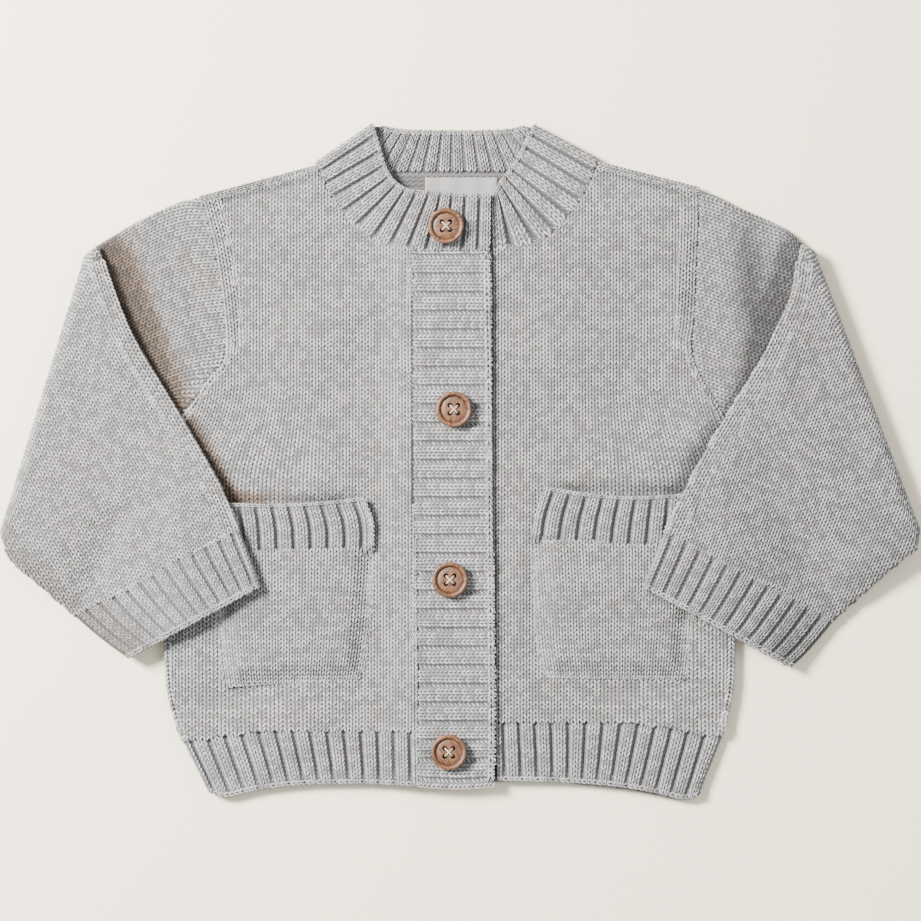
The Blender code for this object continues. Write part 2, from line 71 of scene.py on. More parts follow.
MM = 0.001
WALE = 2.6  # width of one stitch
COURSE = 1.83  # height of one stitch
CLOTH = 2.0
GAP = 0.3
LAYER = CLOTH + GAP
OUTWARD = {"left": -1, "right": 1}  # the way along x from the middle to each side
BACK_Z = CLOTH / 2
FRONT_Z = BACK_Z + LAYER
ARMHOLE = {  # from the shoulder down to the underarm: x, y
    "left": [
        (-109.0, 110.9), (-106.3, 101.0), (-104.0, 92.0), (-101.9, 80.0), (-100.2, 67.2), (-99.1, 55.0),
        (-98.9, 47.5), (-100.6, 39.5), (-106.5, 33.5), (-113.4, 23.0), (-124.1, 10.5),
    ],
    "right": [
        (99.0, 114.6), (99.4, 103.5), (99.0, 92.0), (98.5, 80.0), (98.1, 68.0), (97.2, 56.3),
        (96.2, 49.0), (97.6, 41.0), (101.4, 32.8), (107.0, 24.0), (114.0, 10.5),
    ],
}
SIDE = {  # from below the underarm to the hem: x, y
    "left": [
        (-124.3, -10.0), (-124.4, -32.0), (-124.3, -54.0), (-124.3, -76.0), (-123.3, -95.0), (-120.2, -108.0),
    ],
    "right": [
        (114.2, -10.0), (114.3, -32.0), (114.3, -54.0), (114.3, -76.0), (113.9, -93.0), (111.9, -105.0),
    ],
}
HEM = {  # from the side to the bands: top x, y, lower edge x, y
    "left": [
        (-116.8, -117.4, -106.0, -138.6), (-109.0, -116.5, -98.9, -140.7), (-95.0, -114.4, -87.0, -138.1),
        (-75.4, -112.8, -70.0, -135.8), (-55.0, -112.5, -52.0, -135.2), (-38.0, -112.7, -37.0, -135.3),
        (-18.9, -113.0, -18.5, -136.0),
    ],
    "right": [
        (109.0, -115.2, 98.9, -140.6), (101.0, -114.8, 93.0, -141.7), (90.0, -112.4, 83.0, -139.4),
        (75.8, -110.2, 70.0, -137.0), (53.5, -109.0, 51.9, -135.1), (33.0, -109.2, 34.0, -134.3),
        (14.2, -109.9, 14.9, -133.9),
    ],
}
CROWN = [(-61.4, 123.4), (-57.4, 121.1), (54.6, 121.1), (58.2, 124.9)]

# The tables put the second button here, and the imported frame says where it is.
BUTTON_2 = (-3.2, 21.6)
button_low, button_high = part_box("button_2")
SHIFT = np.array([
    (button_low.x + button_high.x) / 2 / MM - BUTTON_2[0],
    (button_low.y + button_high.y) / 2 / MM - BUTTON_2[1],
    0.0,
])


def soft(t):
    """A soft step from 0 to 1, for numbers or arrays."""
    t = np.clip(t, 0.0, 1.0)
    return t * t * (3 - 2 * t)


def mix(a, b, t):
    """The point a share t of the way from a to b."""
    return np.asarray(a, float) * (1 - t) + np.asarray(b, float) * t


def unit(v):
    """The vector scaled to a length of 1."""
    v = np.asarray(v, float)
    return v / np.linalg.norm(v)


def y_at(line, x):
    """How high a line that runs from left to right is at these places."""
    return np.interp(x, [row[0] for row in line], [row[1] for row in line])


def through(points, at):
    """A smooth curve through the points, read at these places counted in points."""
    p = np.asarray(points, float)
    p = np.vstack([2 * p[0] - p[1], p, 2 * p[-1] - p[-2]])
    at = np.clip(np.asarray(at, float), 0, len(points) - 1)
    i = np.minimum(at.astype(int), len(points) - 2)
    t = (at - i)[:, None]
    a, b, c, d = p[i], p[i + 1], p[i + 2], p[i + 3]
    return 0.5 * (2 * b + (c - a) * t + (2 * a - 5 * b + 4 * c - d) * t**2 + (3 * b - a - 3 * c + d) * t**3)


def waves(x, y, seed, size=45.0, height=0.35):
    """Slow unevenness of cloth that was laid down by hand."""
    dice = np.random.default_rng(seed)
    total = np.zeros(np.broadcast(x, y).shape)
    for _ in range(6):
        turn, phase, share = dice.uniform(0, 2 * math.pi, 2).tolist() + [dice.uniform(0.6, 1.6)]
        total += np.sin((x * math.cos(turn) + y * math.sin(turn)) * 2 * math.pi / (size * share) + phase)
    return total * height / 3


def creases(x, y, lines):
    """Soft troughs and ridges along straight lines: x and y of both ends, height at the middle, half width."""
    total = np.zeros(np.broadcast(x, y).shape)
    for x0, y0, x1, y1, height, width in lines:
        run = math.hypot(x1 - x0, y1 - y0)
        along = ((x - x0) * (x1 - x0) + (y - y0) * (y1 - y0)) / run ** 2
        off = ((x - x0) * (y1 - y0) - (y - y0) * (x1 - x0)) / run
        total += height * np.exp(-(off / width) ** 2) * np.sin(math.pi * np.clip(along, 0, 1)) ** 0.7
    return total


def as_mesh(name, points, fields, seam):
    """A mesh of a grid of points in millimetres. Its stitch map and its point attributes come from the fields."""
    rows, columns = points.shape[:2]
    mesh = bpy.data.meshes.new(name)
    number = np.arange(rows * columns).reshape(rows, columns)
    corners = np.stack([number[:-1, :-1], number[1:, :-1], number[1:, 1:], number[:-1, 1:]], -1).reshape(-1, 4)
    mesh.from_pydata((points.reshape(-1, 3) * MM).tolist(), [], corners.tolist())
    for kept, value in fields.items():
        mesh.attributes.new(kept, "FLOAT", "POINT").data.foreach_set("value", value.ravel().astype(np.float32))
    chart = mesh.uv_layers.new(name="Stitch")
    loops = corners.ravel()
    places = np.stack([fields["across"].ravel()[loops], fields["along"].ravel()[loops]], 1)
    chart.uv.foreach_set("vector", places.astype(np.float32).ravel())
    if seam:
        work = bmesh.new()
        work.from_mesh(mesh)
        bmesh.ops.remove_doubles(work, verts=work.verts, dist=1e-6)
        work.to_mesh(mesh)
        work.free()
    return mesh


def add_object(name, data):
    """A new object in the scene."""
    made = bpy.data.objects.new(name, data)
    bpy.context.scene.collection.objects.link(made)
    return made


def widened(points, fields, axis, margin):
    """The grid with one more line of points on two sides, carried straight on."""
    for last in (False, True):
        order = slice(None, None, -1) if last else slice(None)
        points = np.moveaxis(points, axis, 0)[order]
        first, second = points[0], points[1]
        share = margin / np.maximum(np.linalg.norm(first - second, axis=-1), 0.05)
        points = np.concatenate([(first + (first - second) * share[:, None])[None], points])
        points = np.moveaxis(points[order], 0, axis)
        for kept, value in fields.items():
            value = np.moveaxis(value, axis, 0)[order]
            if kept in ("across", "along"):
                line = value[0] + (value[0] - value[1]) * share
            else:
                line = np.ones_like(value[0]) if kept == "bare" else value[0]
            fields[kept] = np.moveaxis(np.concatenate([line[None], value])[order], 0, axis)
    return points, fields


STITCH_MARGIN = 1.0  # how far past a cloth's edge its last stitches may reach
GROUND_OF_STITCHES = {}  # the widened grid that each cloth's stitches are carried to


def lay_grid(name, points, stitch, relief=1.0, shade=0.0, seam=False, bare=0.0):
    """An open grid of cloth. stitch says which stitch and course each point is, relief how raised,
    shade how much painted shade darkens it, and bare where other cloth hides it."""
    points = np.asarray(points, float) + SHIFT
    fields = {"across": stitch[0], "along": stitch[1], "relief": relief, "shade": shade, "bare": bare}
    fields = {kept: np.broadcast_to(np.asarray(value, float), points.shape[:2]) for kept, value in fields.items()}
    made = add_object(name, as_mesh(name, points, fields, seam))
    points, fields = widened(points, fields, 0, STITCH_MARGIN)
    if not seam:
        points, fields = widened(points, fields, 1, STITCH_MARGIN)
    GROUND_OF_STITCHES[name] = as_mesh(name + "_ground", points, fields, seam)
    return made


class Wiring:
    """A node tree being built, with short ways to add its nodes and join them."""

    def __init__(self, tree):
        self.tree = tree

    def feed(self, socket, value):
        if isinstance(value, bpy.types.NodeSocket):
            self.tree.links.new(value, socket)
        else:
            socket.default_value = value

    def node(self, kind, inputs=None, **settings):
        made = self.tree.nodes.new(kind)
        for key, value in settings.items():
            setattr(made, key, value)
        for key, value in (inputs or {}).items():
            self.feed(made.inputs[key], value)
        return made

    def math(self, operation, *values, clamp=False):
        made = self.tree.nodes.new("ShaderNodeMath")
        made.operation = operation
        made.use_clamp = clamp
        for socket, value in zip(made.inputs, values):
            self.feed(socket, value)
        return made.outputs[0]

    def plus(self, a, b):
        return self.math("ADD", a, b)

    def minus(self, a, b):
        return self.math("SUBTRACT", a, b)

    def times(self, a, b):
        return self.math("MULTIPLY", a, b)

    def over(self, a, b):
        return self.math("DIVIDE", a, b)

    def step(self, value, start, end, low=0.0, high=1.0):
        """A soft step of value from start to end."""
        made = self.node("ShaderNodeMapRange", interpolation_type="SMOOTHSTEP")
        for socket, given in zip(made.inputs, (value, start, end, low, high)):
            self.feed(socket, given)
        return made.outputs[0]

    def blend(self, kind, share, a, b):
        """A mix of two colours."""
        made = self.tree.nodes.new("ShaderNodeMix")
        made.data_type = "RGBA"
        made.blend_type = kind
        self.feed(made.inputs[0], share)
        self.feed(made.inputs[6], a)
        self.feed(made.inputs[7], b)
        return made.outputs[2]


def group(name, kind, inputs, outputs):
    """An empty node group with these named sockets, and its two ends."""
    tree = bpy.data.node_groups.new(name, kind)
    for key, socket, value in inputs:
        made = tree.interface.new_socket(key, in_out="INPUT", socket_type=socket)
        if value is not None:
            made.default_value = value
    for key, socket in outputs:
        tree.interface.new_socket(key, in_out="OUTPUT", socket_type=socket)
    wires = Wiring(tree)
    return wires, wires.node("NodeGroupInput"), wires.node("NodeGroupOutput")


def new_look(name, **settings):
    """A new material with these settings on its shader, the wiring of its node tree, and the shader."""
    made = bpy.data.materials.new(name)
    made.use_nodes = True
    shader = made.node_tree.nodes["Principled BSDF"]
    for key, value in settings.items():
        shader.inputs[key.replace("_", " ")].default_value = value
    return made, Wiring(made.node_tree), shader


FLOAT = "NodeSocketFloat"
COLOUR = "NodeSocketColor"


def make_stitch_group():
    """Plain knitting: each stitch is a V of two slanting legs, tucked under the legs above."""
    wires, start, end = group(
        "plain stitch", "ShaderNodeTree",
        [("Across", FLOAT, 0.0), ("Along", FLOAT, 0.0), ("Slant", FLOAT, 0.92)],
        [("Height", FLOAT), ("Hollow", FLOAT), ("Leg", FLOAT)],
    )
    across, along, slant = start.outputs[:3]
    from_middle = wires.math("ABSOLUTE", wires.minus(wires.times(wires.math("FRACT", across), 2.0), 1.0))
    up_leg = wires.minus(along, wires.times(from_middle, slant))
    place = wires.math("FRACT", up_leg)
    round_up = wires.math("POWER", wires.math("SINE", wires.times(place, math.pi)), 0.6)
    off_leg = wires.math("ABSOLUTE", wires.minus(wires.times(from_middle, 2.0), 1.0))
    round_across = wires.math("SQRT", wires.minus(1.0, wires.times(wires.math("POWER", off_leg, 2.0), 0.9)))
    height = wires.times(round_up, round_across)
    wires.feed(end.inputs["Height"], height)
    # Hollow is painted shade: 1 where the yarn lies low between the legs.
    wires.feed(end.inputs["Hollow"], wires.step(height, 0.15, 0.8, 1.0, 0.0))
    which = wires.node("ShaderNodeCombineXYZ", {
        "X": wires.math("FLOOR", wires.times(across, 2.0)), "Y": wires.math("FLOOR", up_leg),
    })
    chance = wires.node("ShaderNodeTexWhiteNoise", {"Vector": which.outputs[0]}, noise_dimensions="2D")
    wires.feed(end.inputs["Leg"], chance.outputs["Value"])
    return wires.tree


def make_purl_group():
    """The reverse of plain knitting: rows of small bumps, set like bricks."""
    wires, start, end = group(
        "purl stitch", "ShaderNodeTree",
        [("Across", FLOAT, 0.0), ("Along", FLOAT, 0.0)],
        [("Height", FLOAT), ("Hollow", FLOAT)],
    )
    across, along = start.outputs[:2]
    bow = wires.times(wires.math("SINE", wires.times(across, 2 * math.pi)), 0.22)
    place = wires.math("FRACT", wires.plus(along, bow))
    ridge = wires.math("SINE", wires.times(place, math.pi))
    wires.feed(end.inputs["Height"], ridge)
    # Hollow is painted shade in the dips between the bumps.
    wires.feed(end.inputs["Hollow"], wires.step(ridge, 0.1, 0.8, 1.0, 0.0))
    return wires.tree


def make_heather_group():
    """Heather yarn: light and dark fibres spun together, so its tone wanders at several sizes."""
    wires, start, end = group(
        "heather yarn", "ShaderNodeTree",
        [("Depth", FLOAT, 1.0), ("Warmth", FLOAT, 0.0)],
        [("Tone", FLOAT), ("Tint", COLOUR), ("Fuzz", FLOAT)],
    )
    place = wires.node("ShaderNodeTexCoord").outputs["Object"]
    total = None
    for scale, share in ((2400.0, 0.2), (700.0, 0.12), (110.0, 0.06), (28.0, 0.05)):
        noise = wires.node("ShaderNodeTexNoise", {"Vector": place, "Scale": scale, "Detail": 2.0})
        part = wires.times(wires.minus(noise.outputs["Fac"], 0.5), share * 2.4)
        total = part if total is None else wires.plus(total, part)
        if scale == 2400.0:
            wires.feed(end.inputs["Fuzz"], noise.outputs["Fac"])
    tone = wires.plus(1.0, wires.times(total, start.outputs["Depth"]))
    wires.feed(end.inputs["Tone"], tone)
    slow = wires.node("ShaderNodeTexNoise", {"Vector": place, "Scale": 60.0, "Detail": 1.0})
    drift = wires.plus(start.outputs["Warmth"], wires.step(slow.outputs["Fac"], 0.35, 0.65, -0.3, 0.3))
    warm = wires.blend("MIX", wires.step(drift, -1.0, 1.0), (0.93, 0.975, 1.0, 1), (1.0, 0.96, 0.905, 1))
    wires.feed(end.inputs["Tint"], warm)
    return wires.tree


STITCH = make_stitch_group()
PURL = make_purl_group()
HEATHER = make_heather_group()
GREY_LIGHT = (0.355, 0.352, 0.356, 1)
# painted shade: the colour that the yarn takes where it lies low between stitches
HOLLOW_PAINTED_SHADE = (0.045, 0.043, 0.044, 1)


def yarn_look(name, knit, warmth=0.0, bump=0.55, ribbed=False, light=GREY_LIGHT, hollow_painted_shade=HOLLOW_PAINTED_SHADE):
    """A knitted surface, its smooth or its purl side, drawn into its colours and bump."""
    made, wires, shader = new_look(
        name, Roughness=0.92, Sheen_Weight=0.18, Sheen_Roughness=0.6, Specular_IOR_Level=0.25)
    chart = wires.node("ShaderNodeUVMap", uv_map="Stitch")
    split = wires.node("ShaderNodeSeparateXYZ", {"Vector": chart.outputs["UV"]})
    across, along = split.outputs["X"], split.outputs["Y"]
    yarn = wires.node("ShaderNodeGroup", node_tree=HEATHER)
    yarn.inputs["Warmth"].default_value = warmth
    groove = 0.0
    if ribbed:
        share = wires.math("FRACT", across)
        wale = wires.over(share, RIB_WALE)
        plain = wires.node("ShaderNodeGroup", {"Across": wale, "Along": along}, node_tree=STITCH)
        purl = wires.node("ShaderNodeGroup", {
            "Across": wires.times(share, 3.0), "Along": along}, node_tree=PURL)
        off = wires.math("ABSOLUTE", wires.minus(share, RIB_GROOVE))
        groove = wires.step(off, 0.07, 0.19, 1.0, 0.0)
        raised = wires.minus(1.0, groove)
        purl_height = wires.times(purl.outputs["Height"], wires.times(groove, 0.5))
        height = wires.plus(wires.times(plain.outputs["Height"], raised), purl_height)
        # The grooves always get at least half of the painted hollow shade.
        purl_hollow = wires.plus(wires.times(purl.outputs["Hollow"], 0.35), 0.5)
        hollow = wires.plus(wires.times(plain.outputs["Hollow"], raised), wires.times(purl_hollow, groove))
        leg = plain.outputs["Leg"]
    elif knit == "plain":
        plain = wires.node("ShaderNodeGroup", {"Across": across, "Along": along}, node_tree=STITCH)
        height, hollow, leg = plain.outputs[:3]
    else:
        purl = wires.node("ShaderNodeGroup", {"Across": across, "Along": along}, node_tree=PURL)
        height, hollow = purl.outputs[:2]
        leg = 0.5
    tone = wires.times(yarn.outputs["Tone"], wires.plus(0.955, wires.times(leg, 0.09)))
    # The shade attribute is painted shade, and it darkens the tone.
    dark = wires.node("ShaderNodeAttribute", attribute_name="shade").outputs["Fac"]
    tone = wires.times(tone, wires.minus(1.0, dark))
    # painted shade: the low parts of the yarn are mixed towards the hollow colour
    colour = wires.blend("MIX", hollow, light, hollow_painted_shade)
    colour = wires.blend("MULTIPLY", 1.0, colour, yarn.outputs["Tint"])
    level = wires.node("ShaderNodeCombineColor", {"Red": tone, "Green": tone, "Blue": tone})
    colour = wires.blend("MULTIPLY", 1.0, colour, level.outputs[0])
    wires.feed(shader.inputs["Base Color"], colour)
    fuzzy = wires.plus(height, wires.times(yarn.outputs["Fuzz"], 0.35))
    relief = wires.node("ShaderNodeBump", {"Height": fuzzy, "Strength": bump, "Distance": 0.0008})
    wires.feed(shader.inputs["Normal"], relief.outputs["Normal"])
    return made


RIB_WALE = 0.34  # one of the two raised stitches, as a share of a rib and its groove
RIB_GROOVE = 0.84  # middle of the groove between ribs
REVERSE = yarn_look("heather_reverse", "purl")
# A dark wall under the stitches: painted shade that shows in the gaps between them.
SHADED_UNDER = yarn_look(
    "heather_under_stitches", "purl", light=(0.09, 0.086, 0.087, 1), hollow_painted_shade=(0.04, 0.037, 0.038, 1),
)
SHADOW_WARMTH = (1.0, 0.71, 0.51, 1)  # the left sleeve throws a warm shadow, the right one a plain one


def strand_look(name, warmth=0.0, light=GREY_LIGHT):
    """The yarn of the real stitches, by each point's spot on its leg: across, along, and how deep it lies, which
    painted shade darkens.
    """
    made, wires, shader = new_look(
        name, Roughness=0.9, Sheen_Weight=0.25, Sheen_Roughness=0.5, Specular_IOR_Level=0.25)
    spot = wires.node("ShaderNodeAttribute", attribute_name="spot").outputs["Vector"]
    split = wires.node("ShaderNodeSeparateXYZ", {"Vector": spot})
    pick = wires.node("ShaderNodeAttribute", attribute_name="pick").outputs["Fac"]
    dark = wires.node("ShaderNodeAttribute", attribute_name="shade").outputs["Fac"]
    yarn = wires.node("ShaderNodeGroup", node_tree=HEATHER)
    yarn.inputs["Warmth"].default_value = warmth
    spiral = wires.plus(wires.times(split.outputs["X"], 5.0), wires.times(split.outputs["Y"], 3.0))
    twist = wires.math("SINE", wires.times(spiral, 2 * math.pi))
    tone = wires.times(yarn.outputs["Tone"], wires.step(pick, 0.0, 1.0, 0.64, 1.18))
    tone = wires.times(tone, wires.plus(1.0, wires.times(twist, 0.03)))
    # The shade attribute is painted shade, and it darkens the tone.
    tone = wires.times(tone, wires.minus(1.0, dark))
    # painted shade: the sides and tips of each leg, which lie deep, are mixed towards the hollow colour
    colour = wires.blend("MIX", wires.step(split.outputs["Z"], 0.0, 0.92), light, HOLLOW_PAINTED_SHADE)
    colour = wires.blend("MULTIPLY", 1.0, colour, yarn.outputs["Tint"])
    place = wires.node("ShaderNodeTexCoord").outputs["Object"]
    where = wires.node("ShaderNodeSeparateXYZ", {"Vector": place})
    # painted warm shadow: on the left of the body below the shoulders, painted shade is tinted by SHADOW_WARMTH, the
    # more the deeper it is
    reach = wires.step(where.outputs["Y"], 0.01, 0.03, -0.08, -0.106)
    beyond = wires.minus(where.outputs["X"], reach)
    painted_warm_shadow_mask = wires.times(wires.step(beyond, -0.006, 0.006, 1.0, 0.0), wires.step(dark, 0.05, 0.5))
    painted_warm_shadow_mask = wires.times(painted_warm_shadow_mask, wires.step(where.outputs["Y"], 0.088, 0.098, 1.0, 0.0))
    colour = wires.blend("MULTIPLY", painted_warm_shadow_mask, colour, SHADOW_WARMTH)
    level = wires.node("ShaderNodeCombineColor", {"Red": tone, "Green": tone, "Blue": tone})
    wires.feed(shader.inputs["Base Color"], wires.blend("MULTIPLY", 1.0, colour, level.outputs[0]))
    rough = wires.plus(wires.times(twist, 0.35), yarn.outputs["Fuzz"])
    relief = wires.node("ShaderNodeBump", {"Height": rough, "Strength": 0.5, "Distance": 0.0003})
    wires.feed(shader.inputs["Normal"], relief.outputs["Normal"])
    return made


STRAND = strand_look("heather_strand")
# A darker copy of the strand for purl bumps that lie low in the grooves: painted shade.
SHADED_STRAND_PURL = strand_look("heather_purl_strand", light=(0.26, 0.257, 0.26, 1))
PURL_LIFT = 0.08

# One leg of a stitch from its foot to its head: stitch widths, courses, height in mm, half width.
LEG = [
    (0.05, -0.28, -0.28, 0.0), (0.125, 0.06, 0.22, 0.135), (0.25, 0.50, 0.50, 0.175),
    (0.365, 0.95, 0.28, 0.145), (0.42, 1.25, -0.22, 0.0),
]
SHORT_LEG = [LEG[0], (0.245, 0.50, 0.48, 0.175), LEG[-1]]  # for the side it lies on
LEG_DROP = 0.5
LEG_TILT = 0.45
STRAND_LIFT = 0.55  # from the middle of the cloth to the middle of the legs
WALL_UNDER_STITCHES = 0.7


def make_loop(name, leg):
    """One stitch as it shows on the smooth side: two slanting legs of yarn, open underneath."""
    points, spots, faces = [], [], []
    for sign in (-1, 1):
        rings = []
        for n, (across, along, height, half) in enumerate(leg):
            ring = []
            for side in ((-1, 0, 1) if half else (0,)):
                ring.append(len(points))
                drop = abs(side) * LEG_DROP
                points.append((sign * across + side * half, along - side * sign * half * LEG_TILT, height - drop))
                place = 0.04 + 0.92 * n / (len(leg) - 1)
                # The third value is painted shade: 0 along the top of a leg, 0.7 on its sides, 1 at its tips.
                spots.append((0.5 + 0.25 * sign + 0.2 * side, place, 0.7 * abs(side) if half else 1.0))
            rings.append(ring)
        foot, head = rings[0][0], rings[-1][0]
        faces += [(foot, rings[1][k + 1], rings[1][k]) for k in (0, 1)]
        faces += [(head, rings[-2][k], rings[-2][k + 1]) for k in (0, 1)]
        for low, high in zip(rings[1:-2], rings[2:-1]):
            faces += [(low[k], low[k + 1], high[k + 1], high[k]) for k in (0, 1)]
    mesh = bpy.data.meshes.new(name)
    mesh.from_pydata(points, [], faces)
    kept = mesh.attributes.new("spot", "FLOAT_VECTOR", "POINT")
    kept.data.foreach_set("vector", np.array(spots, np.float32).ravel())
    return bpy.data.objects.new(name, mesh)


LOOP = make_loop("stitch", LEG)
SHORT_LOOP = make_loop("short_stitch", SHORT_LEG)

# One purl bump in a groove, from its left end to its right: stitch widths, courses, height in mm, half width.
BUMP = [
    (-0.52, 0.30, -0.30, 0.0), (-0.30, 0.42, 0.12, 0.24), (0.0, 0.62, 0.34, 0.30), (0.30, 0.86, 0.12, 0.24),
    (0.52, 1.0, -0.30, 0.0),
]


def make_bump():
    """One stitch as it shows on the purl side: a short strand across the column, a little aslant."""
    points, spots, rings = [], [], []
    for n, (across, along, height, half) in enumerate(BUMP):
        rings.append([])
        for side in ((-1, 0, 1) if half else (0,)):
            rings[-1].append(len(points))
            points.append((across, along + side * half, height - abs(side) * LEG_DROP * 0.8))
            # The third value is painted shade: 0 along the top of a bump, 0.62 on its sides, 1 at its ends.
            spots.append((0.06 + 0.22 * n, 0.5 + 0.3 * side, 0.62 * abs(side) if half else 1.0))
    faces = [(rings[0][0], rings[1][k], rings[1][k + 1]) for k in (0, 1)]
    faces += [(rings[-1][0], rings[-2][k + 1], rings[-2][k]) for k in (0, 1)]
    for low, high in zip(rings[1:-2], rings[2:-1]):
        faces += [(low[k], high[k], high[k + 1], low[k + 1]) for k in (0, 1)]
    mesh = bpy.data.meshes.new("bump")
    mesh.from_pydata(points, [], [face[::-1] for face in faces])
    for face in mesh.polygons:
        if face.normal.z < 0:
            face.flip()
    kept = mesh.attributes.new("spot", "FLOAT_VECTOR", "POINT")
    kept.data.foreach_set("vector", np.array(spots, np.float32).ravel())
    return bpy.data.objects.new("bump", mesh)


PURL_BUMP = make_bump()


def make_relief_tree():
    """Sinks the grooves of a rib into the cloth, by the stitch that each point belongs to."""
    wires, start, end = group(
        "ribbing", "GeometryNodeTree",
        [("Geometry", "NodeSocketGeometry", None), ("Groove Depth", FLOAT, 1.0), ("Groove Half Width", FLOAT, 0.17),
         ("Roundness", FLOAT, 0.25), ("Yarn", "NodeSocketMaterial", None)],
        [("Geometry", "NodeSocketGeometry")],
    )
    across = wires.node("GeometryNodeInputNamedAttribute", {"Name": "across"}, data_type="FLOAT").outputs["Attribute"]
    relief = wires.node("GeometryNodeInputNamedAttribute", {"Name": "relief"}, data_type="FLOAT").outputs["Attribute"]
    share = wires.math("FRACT", across)
    off = wires.math("ABSOLUTE", wires.minus(share, RIB_GROOVE))
    off = wires.math("MINIMUM", off, wires.minus(1.0, off))
    deep = wires.step(off, 0.02, start.outputs["Groove Half Width"], 1.0, 0.0)
    crown = wires.math("POWER", wires.times(wires.minus(0.5, off), 2.0), 2.0)
    down = wires.plus(deep, wires.times(crown, start.outputs["Roundness"]))
    down = wires.times(wires.times(down, relief), start.outputs["Groove Depth"])
    normal = wires.node("GeometryNodeInputNormal").outputs[0]
    move = wires.node("ShaderNodeVectorMath", operation="SCALE")
    wires.feed(move.inputs[0], normal)
    wires.feed(move.inputs["Scale"], wires.times(down, -MM))
    placed = wires.node("GeometryNodeSetPosition", {
        "Geometry": start.outputs["Geometry"], "Offset": move.outputs[0]})
    real = wires.node("GeometryNodeRealizeInstances", {"Geometry": placed.outputs[0]})
    coloured = wires.node("GeometryNodeSetMaterial", {
        "Geometry": real.outputs[0], "Material": start.outputs["Yarn"]})
    wires.feed(end.inputs["Geometry"], coloured.outputs[0])
    return wires.tree


RIBBING = make_relief_tree()
CHART_SCALE = 1 / 300


